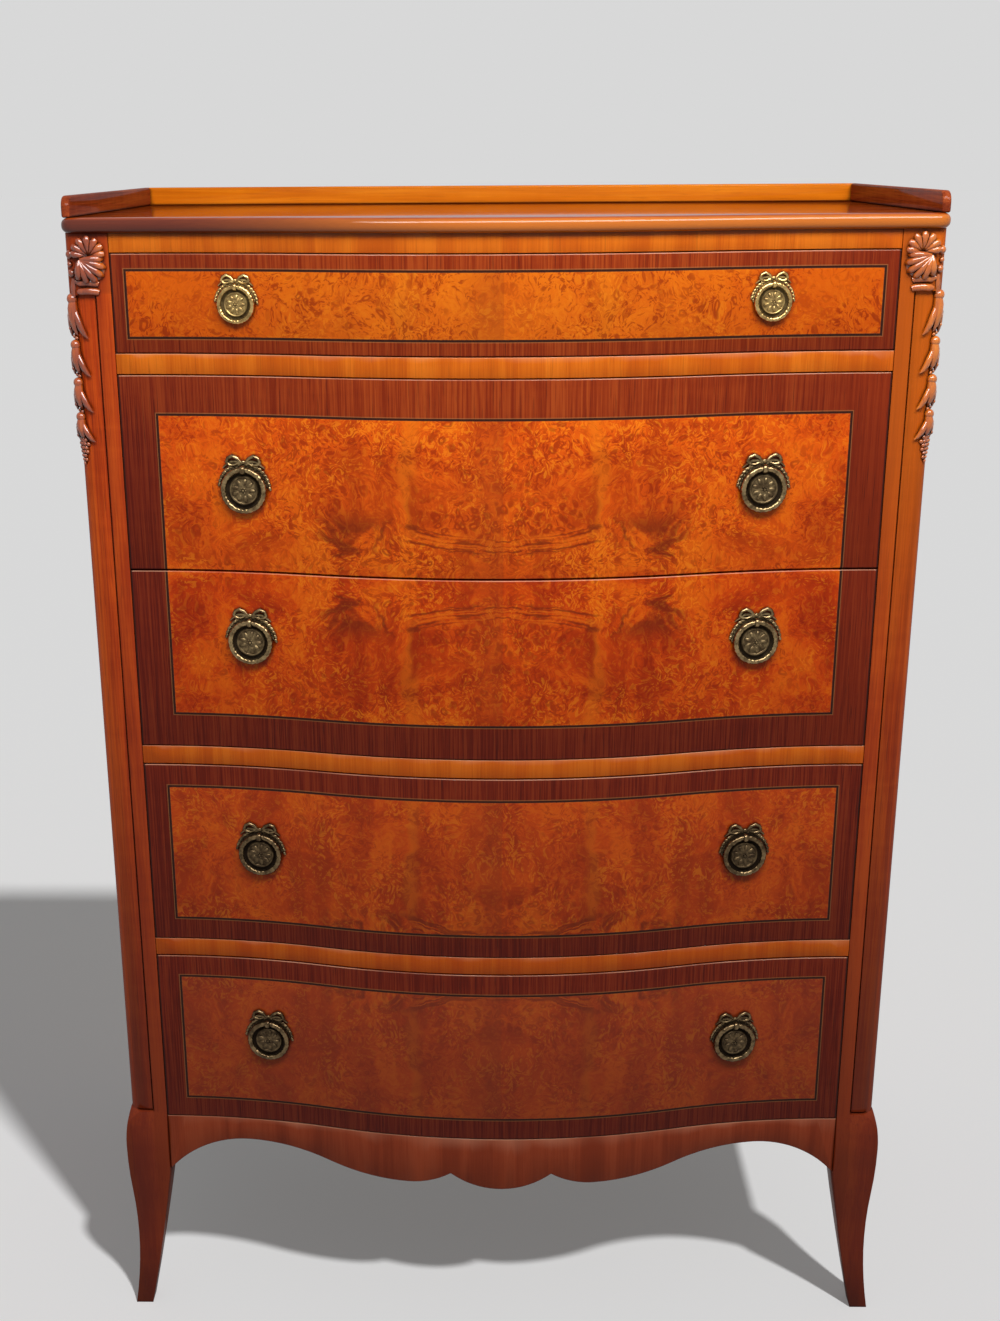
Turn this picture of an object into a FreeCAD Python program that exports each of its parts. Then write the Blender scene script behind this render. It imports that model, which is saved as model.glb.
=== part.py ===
import FreeCAD, Part
import os
import re
import Sketcher

# Bow front chest of five drawers, in millimetres.
# X runs to the right, Y to the back, Z up. The origin is on the floor under the middle of the chest.

sizes = {
    # carcase
    "openingWidth": 822.0,
    "caseDepth": 430.0,
    "bowDepth": 47.0,
    "legHeight": 270.6,
    "drawerSpaceOne": 104.0,
    "drawerSpaceTwo": 214.3,
    "drawerSpaceThree": 207.2,
    "drawerSpaceFour": 222.4,
    "drawerSpaceFive": 221.0,
    "railHeight": 21.8,
    "topRailHeight": 20.0,
    "dividerHeight": 12.0,
    "dividerGap": 1.5,
    "railSetback": 0.8,
    # top board and gallery
    "topThickness": 15.5,
    "topFrontOverhang": 9.0,
    "topSideOverhang": 1.5,
    "topEdgeFlat": 1.5,
    "topCornerRadius": 14.0,
    "galleryHeight": 22.0,
    "galleryThickness": 9.0,
    "galleryInset": 2.0,
    "galleryFrontInset": 7.0,
    "galleryEndRadius": 12.0,
    # corner posts and legs
    "postWidth": 46.5,
    "postDepth": 46.0,
    "stripWidth": 15.5,
    "grooveWidth": 2.4,
    "grooveDepth": 6.0,
    "faceRecess": 3.0,
    "cornerRadius": 18.0,
    "capitalHeight": 63.0,
    "kneeRise": 5.4,
    "kneeDrop": 45.0,
    "kneeBulge": 5.2,
    "ankleHeight": 100.0,
    "ankleInset": 0.7,
    "footFlare": 7.0,
    "footWidth": 21.0,
    "legFullness": 1.2,
    "shoulderDrop": 28.0,
    "shoulderRadius": 40.0,
    # apron
    "apronThickness": 20.0,
    "archDepth": 30.1,
    "archX": 309.0,
    "archRise": 47.5,
    "lobeX": 113.0,
    "lobeDrop": 35.0,
    "cuspX": 60.7,
    "cuspRise": 15.1,
    "centreDrop": 5.5,
    # panels, runners and stops
    "sidePanelThickness": 12.0,
    "sidePanelInset": 1.5,
    "sidePanelDrop": 25.6,
    "backPanelThickness": 5.0,
    "backPanelInset": 6.0,
    "dustPanelThickness": 4.0,
    "runnerWidth": 28.0,
    "guideHeight": 15.0,
    "stopX": 250.0,
    "stopLength": 30.0,
    "stopDepth": 10.0,
    "stopHeight": 6.0,
    "stopGap": 0.5,
    "fixingInset": 77.5,
    "screwRadius": 1.8,
    "screwLength": 20.0,
    "screwHeadRadius": 4.0,
    "screwHeadHeight": 2.0,
    # drawers
    "frontThickness": 22.0,
    "frontGap": 0.9,
    "lapDepth": 12.0,
    "sideThickness": 11.0,
    "sideClearance": 1.5,
    "runClearance": 0.3,
    "sideDrop": 8.0,
    "rearGap": 30.0,
    "bottomThickness": 5.0,
    "bottomRise": 9.0,
    "bottomGroove": 5.0,
    "backThickness": 11.0,
    "backDrop": 6.0,
    # ring pulls
    "pullInset": 133.0,
    "pullRise": 4.5,
    "wideBand": 40.0,
    "ringRadius": 22.5,
    "ringTube": 3.0,
    "ringGap": 0.6,
    "plateRadius": 24.0,
    "plateThickness": 2.0,
    "garlandRadius": 30.0,
    "garlandThickness": 2.4,
    "bossRadius": 14.5,
    "bossHeight": 4.0,
    "bossCrown": 3.0,
    "eyeWidth": 5.0,
    "eyeWall": 1.8,
    "eyeClearance": 0.4,
    "bowLoopX": 10.5,
    "bowLoopRise": 32.5,
    "bowLoopRadius": 5.6,
    "bowLoopTube": 1.6,
    "studRadius": 2.5,
    "studClearance": 0.2,
    "nutRadius": 5.0,
    "nutHeight": 4.0,
    "smallPullShare": 0.8,
    # carved drops on the front corners
    "shellRadius": 17.0,
    "shellThickness": 7.0,
    "shellRise": 53.0,
    "rosetteRadius": 17.5,
    "rosetteThickness": 8.0,
    "rosetteRise": 38.0,
    "rosetteX": 21.0,
    "rollRadius": 3.6,
    "rollLength": 24.0,
    "rollRise": 16.0,
    "rollStep": 7.5,
    "huskLength": 40.0,
    "huskRadius": 9.0,
    "huskTip": 4.0,
    "huskTop": 2.1,
    "huskStep": 38.5,
    "berryRadius": 5.0,
    "berryStep": 8.0,
    "overrun": 10.0,
}
huskCount = 4
berryCount = 4

doc = FreeCAD.newDocument("BowFrontChest")
sheet = doc.addObject("Spreadsheet::Sheet", "Sizes")
for row, (alias, size) in enumerate(sizes.items(), start=1):
    sheet.set(f"A{row}", alias)
    sheet.set(f"B{row}", str(size))
    sheet.setAlias(f"B{row}", alias)
doc.recompute()


# Formulas are written with the plain names of the sizes above
def formula(text):
    return re.sub(r"[A-Za-z]+", lambda word: f"Sizes.{word[0]}" if word[0] in sizes else word[0], text)


def measure(text):
    return float(sheet.evalExpression(formula(text)))


placeNames = {"x": "Placement.Base.x", "y": "Placement.Base.y", "z": "Placement.Base.z"}


def bind(item, **formulas):
    for name, text in formulas.items():
        item.setExpression(placeNames.get(name, name), formula(text))
    return item


nodes = []


def keep(item, label):
    item.Label = label
    nodes.append(item)
    return item


# Building blocks: boxes, prisms over outlines, booleans, mirrored copies and groups
def box(name, xRange, yRange, zRange):
    item = doc.addObject("Part::Box", name)
    return bind(
        item,
        Length=f"{xRange[1]} - ({xRange[0]})",
        Width=f"{yRange[1]} - ({yRange[0]})",
        Height=f"{zRange[1]} - ({zRange[0]})",
        x=xRange[0],
        y=yRange[0],
        z=zRange[0],
    )


def arcBetween(start, end, radius, side):
    chord = end.sub(start)
    middle = start.add(end).multiply(0.5)
    leftward = FreeCAD.Vector(-chord.y, chord.x, 0).normalize()
    reach = max(radius ** 2 - chord.Length ** 2 / 4, 0) ** 0.5
    centre = middle.add(leftward.multiply(side * reach))
    first, last = (start, end) if side > 0 else (end, start)
    circle = Part.Circle(centre, FreeCAD.Vector(0, 0, 1), radius)
    return Part.ArcOfCircle(circle, circle.parameter(first), circle.parameter(last))


# corners are pairs of formulas; curves give an edge's radius and the side of its centre, 1 left or -1 right
def outline(body, role, corners, curves):
    sketch = body.newObject("Sketcher::SketchObject", f"{body.Name}Outline")
    plane = [feature for feature in body.Origin.OriginFeatures if feature.Role == role][0]
    sketch.AttachmentSupport = [(plane, "")]
    sketch.MapMode = "FlatFace"
    spots = [FreeCAD.Vector(measure(across), measure(up), 0) for across, up in corners]
    limits = []
    for index, start in enumerate(spots):
        end = spots[(index + 1) % len(spots)]
        if index in curves:
            radius, side = curves[index]
            edge = sketch.addGeometry(arcBetween(start, end, measure(radius), side))
            limits.append(((edge, 1), (edge, 2)) if side > 0 else ((edge, 2), (edge, 1)))
        else:
            edge = sketch.addGeometry(Part.LineSegment(start, end))
            limits.append(((edge, 1), (edge, 2)))
    rules = []
    for index in range(len(spots)):
        rules.append(Sketcher.Constraint("Coincident", *limits[index - 1][1], *limits[index][0]))
    sketch.addConstraint(rules)
    for index, (across, up) in enumerate(corners):
        spot = spots[index]
        for kind, text, number in (("DistanceX", across, spot.x), ("DistanceY", up, spot.y)):
            rule = sketch.addConstraint(Sketcher.Constraint(kind, *limits[index][0], number))
            sketch.renameConstraint(rule, f"{kind}{index}")
            sketch.setExpression(f"Constraints.{kind}{index}", formula(text))
    for index, (radius, side) in curves.items():
        rule = sketch.addConstraint(Sketcher.Constraint("Radius", limits[index][0][0], measure(radius)))
        sketch.renameConstraint(rule, f"Radius{index}")
        sketch.setExpression(f"Constraints.Radius{index}", formula(radius))
    return sketch


padAxis = {"XY_Plane": "z", "XZ_Plane": "y", "YZ_Plane": "x"}


# The XZ plane faces the front, so a pad on it starts from its high end
def prism(name, role, corners, curves, low, high):
    body = doc.addObject("PartDesign::Body", name)
    pad = body.newObject("PartDesign::Pad", f"{name}Pad")
    pad.Profile = outline(body, role, corners, curves)
    bind(pad, Length=f"{high} - ({low})")
    bind(body, **{padAxis[role]: high if role == "XZ_Plane" else low})
    return body


def cut(name, base, tool):
    item = doc.addObject("Part::Cut", name)
    item.Base = base
    item.Tool = tool
    return item


def common(name, first, second):
    item = doc.addObject("Part::Common", name)
    item.Base = first
    item.Tool = second
    return item


def fuse(name, pieces):
    item = doc.addObject("Part::MultiFuse", name)
    item.Shapes = pieces
    return item


def group(name, pieces):
    item = doc.addObject("Part::Compound", name)
    item.Links = pieces
    return item


def mirrored(name, source):
    item = doc.addObject("Part::Mirroring", name)
    item.Source = source
    item.Normal = FreeCAD.Vector(1, 0, 0)
    return item


def keepPair(right, label):
    keep(right, f"{label}_right")
    keep(mirrored(f"{label}Mirror", right), f"{label}_left")


# Planes and heights that the pieces share
frontPlane = "(-(caseDepth - bowDepth - topFrontOverhang) / 2)"
backPlane = f"({frontPlane} + caseDepth)"
openHalf = "(openingWidth / 2)"
caseHalf = f"({openHalf} + postWidth)"
topHalf = f"({caseHalf} + topSideOverhang)"
bowRadius = f"(({openHalf}^2 + bowDepth^2) / (4 * bowDepth))"
postBack = f"({frontPlane} + postDepth)"
rearPostFront = f"({backPlane} - postDepth)"
panelInner = f"({caseHalf} - sidePanelInset - sidePanelThickness)"
backPanelFront = f"({backPlane} - backPanelInset - backPanelThickness)"
kneeTop = "(legHeight + kneeRise)"
archHeight = "(legHeight - archDepth)"
legJoint = f"({archHeight} - archRise)"

lowOf = {5: "legHeight"}
lowOf[4] = f"({lowOf[5]} + drawerSpaceFive + railHeight)"
lowOf[3] = f"({lowOf[4]} + drawerSpaceFour + railHeight)"
lowOf[2] = f"({lowOf[3]} + drawerSpaceThree)"
lowOf[1] = f"({lowOf[2]} + drawerSpaceTwo + railHeight)"
spaceOf = {
    1: "drawerSpaceOne",
    2: "drawerSpaceTwo",
    3: "drawerSpaceThree",
    4: "drawerSpaceFour",
    5: "drawerSpaceFive",
}
caseTop = f"({lowOf[1]} + drawerSpaceOne + topRailHeight)"
boardTop = f"({caseTop} + topThickness)"

# Each drawer runs on a level: the top of its runners, and their height below it
runnerTop = {drawer: lowOf[drawer] for drawer in spaceOf}
runnerTop[2] = f"({lowOf[2]} + dividerHeight / 2)"
runnerHeight = {drawer: "railHeight" for drawer in spaceOf}
runnerHeight[2] = "dividerHeight"
ceiling = {drawer: f"({lowOf[drawer]} + {spaceOf[drawer]})" for drawer in spaceOf}
ceiling[3] = f"({lowOf[2]} - dividerHeight / 2)"


# The bowed front line: a convex arc between two hollow ones, level at both ends, moved out by offset
def bowEndY(offset, halfLength):
    fromEnd = f"({openHalf} - ({halfLength}))"
    return f"({frontPlane} - {bowRadius} + sqrt(({bowRadius} - ({offset}))^2 - {fromEnd}^2))"


def bowCorners(offset, halfLength):
    endY = bowEndY(offset, halfLength)
    turnX = f"({openHalf} / 2 * (1 + ({offset}) / {bowRadius}))"
    turnY = f"({frontPlane} - bowDepth / 2 - ({offset}) * (1 - bowDepth / 2 / {bowRadius}))"
    return [(f"-({halfLength})", endY), (f"-{turnX}", turnY), (turnX, turnY), (halfLength, endY)]


def bowCurves(offset, first, direction):
    hollow = (f"{bowRadius} - ({offset})", -direction)
    crown = (f"{bowRadius} + ({offset})", direction)
    return {first: hollow, first + 1: crown, first + 2: hollow}


def bowBand(name, frontOffset, backOffset, halfLength, low, high):
    corners = bowCorners(frontOffset, halfLength) + bowCorners(backOffset, halfLength)[::-1]
    curves = {**bowCurves(frontOffset, 0, 1), **bowCurves(backOffset, 4, -1)}
    return prism(name, "XY_Plane", corners, curves, low, high)


def bowBoard(name, frontOffset, halfLength, backY, low, high):
    corners = bowCorners(frontOffset, halfLength)
    corners += [(halfLength, backY), (f"-({halfLength})", backY)]
    return prism(name, "XY_Plane", corners, bowCurves(frontOffset, 0, 1), low, high)


# Top board with its rounded front corners and edges
def topBoard():
    frontY = f"({frontPlane} - topFrontOverhang)"
    cornerX = f"({topHalf} - topCornerRadius)"
    cornerY = f"({frontY} + topCornerRadius)"
    corners = bowCorners("topFrontOverhang", openHalf)
    corners += [(cornerX, frontY), (topHalf, cornerY), (topHalf, backPlane)]
    corners += [(f"-{topHalf}", backPlane), (f"-{topHalf}", cornerY), (f"-{cornerX}", frontY)]
    curves = bowCurves("topFrontOverhang", 0, 1)
    curves[4] = ("topCornerRadius", 1)
    curves[8] = ("topCornerRadius", 1)
    body = prism("top_board", "XY_Plane", corners, curves, caseTop, boardTop)
    doc.recompute()
    pad = body.Tip
    rimEdges = []
    for index, edge in enumerate(pad.Shape.Edges, start=1):
        bounds = edge.BoundBox
        flat = bounds.ZLength < bounds.DiagonalLength / 2
        if flat and bounds.YMin < measure(backPlane) - measure("overrun"):
            rimEdges.append(f"Edge{index}")
    fillet = body.newObject("PartDesign::Fillet", "topEdges")
    fillet.Base = (pad, rimEdges)
    bind(fillet, Radius="(topThickness - topEdgeFlat) / 2")
    body.Tip = fillet
    keep(body, "top_board")


# Low gallery round the back and sides of the top
def gallery():
    galleryHalf = f"({topHalf} - galleryInset)"
    galleryTop = f"({boardTop} + galleryHeight)"
    backFront = f"({backPlane} - galleryThickness)"
    innerX = f"({galleryHalf} - galleryThickness)"
    endY = f"({frontPlane} - topFrontOverhang + galleryFrontInset)"
    backPiece = box(
        "gallery_back", (f"-{galleryHalf}", galleryHalf), (backFront, backPlane), (boardTop, galleryTop)
    )
    keep(backPiece, "gallery_back")
    corners = [(endY, boardTop), (backFront, boardTop), (backFront, galleryTop)]
    corners += [(f"{endY} + galleryEndRadius", galleryTop), (endY, f"{galleryTop} - galleryEndRadius")]
    side = prism("gallerySide", "YZ_Plane", corners, {3: ("galleryEndRadius", 1)}, innerX, galleryHalf)
    keepPair(side, "gallery")


# Sawn outline of a leg and the post above it, as pairs of distance out from the case face and height
def legOutline(postSize):
    kneeHeight = f"({kneeTop} - kneeDrop)"
    knee = ("kneeBulge", kneeHeight)
    bend = ("((kneeBulge - ankleInset) / 2)", f"(({kneeHeight} + ankleHeight) / 2)")
    ankle = ("(-ankleInset)", "ankleHeight")
    foot = ("footFlare", "0")
    footInside = ("(footFlare - footWidth)", "0")
    points = [("0", caseTop), ("0", kneeTop), knee, bend, ankle, foot, footInside]
    points += [(f"(-{postSize})", legJoint), (f"(-{postSize})", caseTop)]
    kneeRadius = "((kneeDrop^2 + kneeBulge^2) / (2 * kneeBulge))"
    sweep = "(kneeBulge + ankleInset)"
    bendRadius = f"((({kneeHeight} - ankleHeight)^2 + {sweep}^2) / (4 * {sweep}))"
    flare = "(footFlare + ankleInset)"
    footRadius = f"((ankleHeight^2 + {flare}^2) / (2 * {flare}))"
    lean = f"({postSize} + footFlare - footWidth)"
    insideRadius = f"((({legJoint}^2 + {lean}^2) / 4 + legFullness^2) / (2 * legFullness))"
    radii = {1: (kneeRadius, -1), 2: (bendRadius, -1), 3: (bendRadius, 1), 4: (footRadius, 1)}
    radii[6] = (insideRadius, -1)
    return points, radii


def sawnFromFront(name, low, high):
    points, radii = legOutline("postWidth")
    corners = [(f"({caseHalf} + {out})", up) for out, up in points]
    return prism(name, "XZ_Plane", corners, radii, low, high)


def sawnFromSide(name, low, high):
    points, radii = legOutline("postDepth")
    corners = [(f"({frontPlane} - {out})", up) for out, up in points]
    mirroredRadii = {index: (radius, -side) for index, (radius, side) in radii.items()}
    return prism(name, "YZ_Plane", corners, mirroredRadii, low, high)


# Front post: recessed, rounded corner between the carved capital and the knee
def frontPosts():
    frontReach = f"({frontPlane} - overrun)"
    sideReach = f"({caseHalf} + overrun)"
    blank = common(
        "frontPostBlank",
        sawnFromFront("frontPostFront", frontReach, f"({postBack} + overrun)"),
        sawnFromSide("frontPostSide", f"({openHalf} - overrun)", sideReach),
    )
    grooveX = f"({openHalf} + stripWidth)"
    faceX = f"({grooveX} + grooveWidth)"
    grooveY = f"({frontPlane} + grooveDepth)"
    faceY = f"({frontPlane} + faceRecess)"
    roundX = f"({caseHalf} - cornerRadius)"
    roundY = f"({faceY} + cornerRadius)"
    corners = [(grooveX, frontReach), (grooveX, grooveY), (faceX, grooveY), (faceX, faceY), (roundX, faceY)]
    corners += [(caseHalf, roundY), (sideReach, roundY), (sideReach, frontReach)]
    capitalBase = f"({caseTop} - capitalHeight)"
    recess = prism("postRecess", "XY_Plane", corners, {4: ("cornerRadius", 1)}, kneeTop, capitalBase)
    slot = box(
        "postSlot", (grooveX, sideReach), (frontReach, grooveY), (kneeTop, f"({kneeTop} + grooveWidth)")
    )
    # The shoulder is cut square to the corner's diagonal
    shoulderIn = "((sqrt(2) - 1) * cornerRadius + faceRecess / sqrt(2))"
    shoulderOut = "(kneeBulge * sqrt(2))"
    shoulderBase = f"({kneeTop} - shoulderDrop)"
    shoulderReach = f"({shoulderOut} + overrun)"
    corners = [(f"(-{shoulderIn})", kneeTop), (shoulderOut, shoulderBase), (shoulderReach, shoulderBase)]
    corners += [(shoulderReach, kneeTop)]
    spread = "(postWidth + overrun)"
    shoulder = prism(
        "postShoulder", "XZ_Plane", corners, {0: ("shoulderRadius", -1)}, f"(-{spread})", spread
    )
    turned = group("shoulderTurned", [shoulder])
    turned.Placement = FreeCAD.Placement(
        FreeCAD.Vector(measure(caseHalf), measure(frontPlane), 0),
        FreeCAD.Rotation(FreeCAD.Vector(0, 0, 1), -45),
    )
    bind(turned, x=caseHalf, y=frontPlane)
    tool = fuse("postCuts", [recess, slot, turned])
    keepPair(cut("frontPost", blank, tool), "front_post")


def rearPosts():
    footFront = f"({backPlane} - footWidth)"
    corners = [(backPlane, caseTop), (backPlane, "0"), (footFront, "0"), (rearPostFront, legJoint)]
    corners += [(rearPostFront, caseTop)]
    lean = "(postDepth - footWidth)"
    insideRadius = f"((({legJoint}^2 + {lean}^2) / 4 + legFullness^2) / (2 * legFullness))"
    sideSawn = prism(
        "rearPostSide",
        "YZ_Plane",
        corners,
        {2: (insideRadius, -1)},
        f"({openHalf} - overrun)",
        f"({caseHalf} + overrun)",
    )
    frontSawn = sawnFromFront("rearPostFront", f"({rearPostFront} - overrun)", f"({backPlane} + overrun)")
    keepPair(common("rearPost", frontSawn, sideSawn), "rear_post")


def sidePanels():
    panel = box(
        "sidePanel",
        (panelInner, f"({caseHalf} - sidePanelInset)"),
        (postBack, rearPostFront),
        ("(legHeight - sidePanelDrop)", caseTop),
    )
    keepPair(panel, "side_panel")


# Front rails between the drawers, the setback divider and the rail behind the apron
def frontRails():
    levels = {
        "top_rail": (f"({caseTop} - topRailHeight)", caseTop),
        "upper_rail": (f"({lowOf[1]} - railHeight)", lowOf[1]),
        "middle_rail": (f"({lowOf[3]} - railHeight)", lowOf[3]),
        "lower_rail": (f"({lowOf[4]} - railHeight)", lowOf[4]),
    }
    for label, (low, high) in levels.items():
        keep(bowBoard(label, "-railSetback", openHalf, postBack, low, high), label)
    dividerLow = f"({runnerTop[2]} - dividerHeight)"
    dividerFront = "-(frontThickness + dividerGap)"
    divider = bowBoard("divider_rail", dividerFront, openHalf, postBack, dividerLow, runnerTop[2])
    keep(divider, "divider_rail")
    apronBack = "-(railSetback + apronThickness)"
    bottomLow = f"({lowOf[5]} - railHeight)"
    keep(bowBoard("bottom_rail", apronBack, openHalf, postBack, bottomLow, lowOf[5]), "bottom_rail")


# Apron: the bowed band sawn to arches and lobes along its lower edge
def apron():
    band = bowBand("apronBand", "-railSetback", "-(railSetback + apronThickness)", openHalf, "0", lowOf[5])
    lobeHeight = f"({archHeight} - lobeDrop)"
    archRadius = f"((({openHalf} - archX)^2 + archRise^2) / (2 * archRise))"
    waveRadius = "(((archX - lobeX)^2 + lobeDrop^2) / (4 * lobeDrop))"
    lobeRadius = "(((lobeX - cuspX)^2 + cuspRise^2) / (2 * cuspRise))"
    centreRise = "(cuspRise + centreDrop)"
    centreRadius = f"((cuspX^2 + {centreRise}^2) / (2 * {centreRise}))"
    waveMiddle = ("((archX + lobeX) / 2)", f"({archHeight} - lobeDrop / 2)")
    half = [(openHalf, legJoint), ("archX", archHeight), waveMiddle]
    half += [("lobeX", lobeHeight), ("cuspX", f"({lobeHeight} + cuspRise)")]
    otherHalf = [(f"(-{across})", up) for across, up in half[::-1]]
    topCorners = [(f"(-{openHalf})", lowOf[5]), (openHalf, lowOf[5])]
    halfRadii = [(archRadius, 1), (waveRadius, 1), (waveRadius, -1), (lobeRadius, -1)]
    radii = halfRadii + [(centreRadius, -1)] + halfRadii[::-1]
    curves = {index + 2: (radius, side) for index, (radius, side) in enumerate(radii)}
    sawLow = f"({frontPlane} - bowDepth - overrun)"
    sawn = prism("apronSawn", "XZ_Plane", topCorners + half + otherHalf, curves, sawLow, postBack)
    keep(common("apron", band, sawn), "apron")


# Runners with their guides, rear rails, dust panels and drawer stops
def runnersAndPanels():
    runners = []
    panels = []
    rails = []
    for drawer in spaceOf:
        top = runnerTop[drawer]
        low = f"({top} - {runnerHeight[drawer]})"
        innerX = f"({openHalf} - runnerWidth)"
        guideTop = f"({top} + guideHeight)"
        corners = [(innerX, low), (panelInner, low), (panelInner, guideTop)]
        corners += [(openHalf, guideTop), (openHalf, top), (innerX, top)]
        runner = prism(f"runner{drawer}", "XZ_Plane", corners, {}, postBack, rearPostFront)
        runners += [runner, mirrored(f"runner{drawer}Mirror", runner)]
        panelLow = f"({top} - ({runnerHeight[drawer]} + dustPanelThickness) / 2)"
        panelHigh = f"({panelLow} + dustPanelThickness)"
        panels.append(
            box(f"dust{drawer}", (f"-{innerX}", innerX), (postBack, rearPostFront), (panelLow, panelHigh))
        )
        rails.append(
            box(f"rearRail{drawer}", (f"-{openHalf}", openHalf), (rearPostFront, backPanelFront), (low, top))
        )
    topRailLow = f"({caseTop} - topRailHeight)"
    rails.append(
        box("rearRailTop", (f"-{openHalf}", openHalf), (rearPostFront, backPanelFront), (topRailLow, caseTop))
    )
    keep(group("drawer_runners", runners), "drawer_runners")
    keep(group("dust_panels", panels), "dust_panels")
    return rails


def drawerStops():
    stops = []
    for drawer in (1, 3, 4, 5):
        low = lowOf[drawer]
        endX = "(stopX + stopLength / 2)"
        frontY = f"({bowEndY('-frontThickness', endX)} + stopGap)"
        stop = box(
            f"stop{drawer}",
            ("(stopX - stopLength / 2)", endX),
            (frontY, f"({frontY} + stopDepth)"),
            (low, f"({low} + stopHeight)"),
        )
        stops += [stop, mirrored(f"stop{drawer}Mirror", stop)]
    keep(group("drawer_stops", stops), "drawer_stops")


def cylinder(name, radius, length, x, y, z, turn=None):
    item = doc.addObject("Part::Cylinder", name)
    if turn:
        item.Placement = FreeCAD.Placement(FreeCAD.Vector(), turn)
    return bind(item, Radius=radius, Height=length, x=x, y=y, z=z)


towardFront = FreeCAD.Rotation(FreeCAD.Vector(1, 0, 0), 90)
alongX = FreeCAD.Rotation(FreeCAD.Vector(0, 1, 0), 90)


# Back panel, screwed to the rear rails through its face
def backPanelAndScrews(rails):
    screws = []
    panelBack = f"({backPlane} - backPanelInset)"
    heights = [f"({runnerTop[drawer]} - {runnerHeight[drawer]} / 2)" for drawer in spaceOf]
    heights.append(f"({caseTop} - topRailHeight / 2)")
    fixingX = f"({caseHalf} - fixingInset)"
    for row, height in enumerate(heights):
        for column, across in enumerate((f"(-{fixingX})", "0", fixingX)):
            name = f"screw{row}{column}"
            headBack = f"({panelBack} + screwHeadHeight)"
            head = cylinder(
                f"{name}Head", "screwHeadRadius", "screwHeadHeight", across, headBack, height, towardFront
            )
            shank = cylinder(
                f"{name}Shank", "screwRadius", "screwLength", across, panelBack, height, towardFront
            )
            screws.append(fuse(name, [head, shank]))
    screwGroup = group("back_screws", screws)
    panel = box(
        "backBoard",
        (f"-{openHalf}", openHalf),
        (backPanelFront, panelBack),
        (f"({lowOf[5]} - railHeight)", caseTop),
    )
    keep(cut("back_panel", panel, screwGroup), "back_panel")
    keep(cut("rear_rails", group("rearRailBlanks", rails), screwGroup), "rear_rails")
    keep(screwGroup, "back_screws")


# Ring pull, drawn round its ring's centre on the drawer's face and set on the face at its slope
def pullMaster(name, share):
    def sized(text):
        return f"(({text}) * {share})"

    # The plate's back stands clear of the hollow face at its middle and meets it at its sides
    seat = f"({bowRadius} - sqrt({bowRadius}^2 - {sized('garlandRadius')}^2))"
    plateFront = f"(-{seat} - {sized('plateThickness')})"
    ringY = f"({plateFront} - {sized('ringTube + ringGap')})"
    plate = cylinder(
        f"{name}Plate", sized("plateRadius"), sized("plateThickness"), "0", f"-{seat}", "0", towardFront
    )
    garland = cylinder(
        f"{name}Garland", sized("garlandRadius"), sized("garlandThickness"), "0", f"-{seat}", "0", towardFront
    )
    garland.Angle = 180
    boss = doc.addObject("Part::Cone", f"{name}Boss")
    boss.Placement = FreeCAD.Placement(FreeCAD.Vector(), towardFront)
    bind(
        boss,
        Radius1=sized("bossRadius"),
        Radius2=sized("bossRadius - bossCrown"),
        Height=sized("bossHeight + bossCrown"),
        y=plateFront,
    )
    pieces = [plate, garland, boss]
    for side in (1, -1):
        loop = doc.addObject("Part::Torus", f"{name}Loop{side + 1}")
        loop.Placement = FreeCAD.Placement(FreeCAD.Vector(), towardFront)
        bind(
            loop,
            Radius1=sized("bowLoopRadius"),
            Radius2=sized("bowLoopTube"),
            x=f"{side} * {sized('bowLoopX')}",
            y=f"(-{seat} - {sized('bowLoopTube')})",
            z=sized("bowLoopRise"),
        )
        pieces.append(loop)
    eyeOuter = sized("ringTube + eyeClearance + eyeWall")
    eyeLeft = f"(-{sized('eyeWidth')} / 2)"
    eye = cylinder(
        f"{name}Eye", eyeOuter, sized("eyeWidth"), eyeLeft, ringY, sized("ringRadius"), alongX
    )
    neckLow = sized("ringRadius - ringTube")
    neck = box(
        f"{name}Neck",
        (eyeLeft, f"(-{eyeLeft})"),
        (ringY, plateFront),
        (neckLow, f"({neckLow} + 2 * {sized('ringTube')})"),
    )
    studLength = f"(frontThickness + 2 * nutHeight + {seat})"
    studBack = f"({studLength} - {seat})"
    stud = cylinder(f"{name}Stud", "studRadius", studLength, "0", studBack, "0", towardFront)
    bore = cylinder(
        f"{name}Bore",
        sized("ringTube + eyeClearance"),
        sized("2 * eyeWidth"),
        f"(2 * {eyeLeft})",
        ringY,
        sized("ringRadius"),
        alongX,
    )
    solidPlate = cut(f"{name}Solid", fuse(f"{name}Fused", pieces + [eye, neck, stud]), bore)
    nut = doc.addObject("Part::Prism", f"{name}Nut")
    nut.Polygon = 6
    nut.Placement = FreeCAD.Placement(FreeCAD.Vector(), towardFront)
    bind(nut, Circumradius="nutRadius", Height="nutHeight", y="(frontThickness + 3 * nutHeight / 2)")
    boredNut = cut(f"{name}NutBored", nut, stud)
    ring = doc.addObject("Part::Torus", f"{name}Ring")
    ring.Placement = FreeCAD.Placement(FreeCAD.Vector(), towardFront)
    bind(ring, Radius1=sized("ringRadius"), Radius2=sized("ringTube"), y=ringY)
    drill = cylinder(
        f"{name}Drill",
        "(studRadius + studClearance)",
        "(frontThickness + 2 * overrun)",
        "0",
        "(frontThickness + overrun)",
        "0",
        towardFront,
    )
    return {"plate": solidPlate, "nut": boredNut, "ring": ring, "drill": drill}


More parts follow.
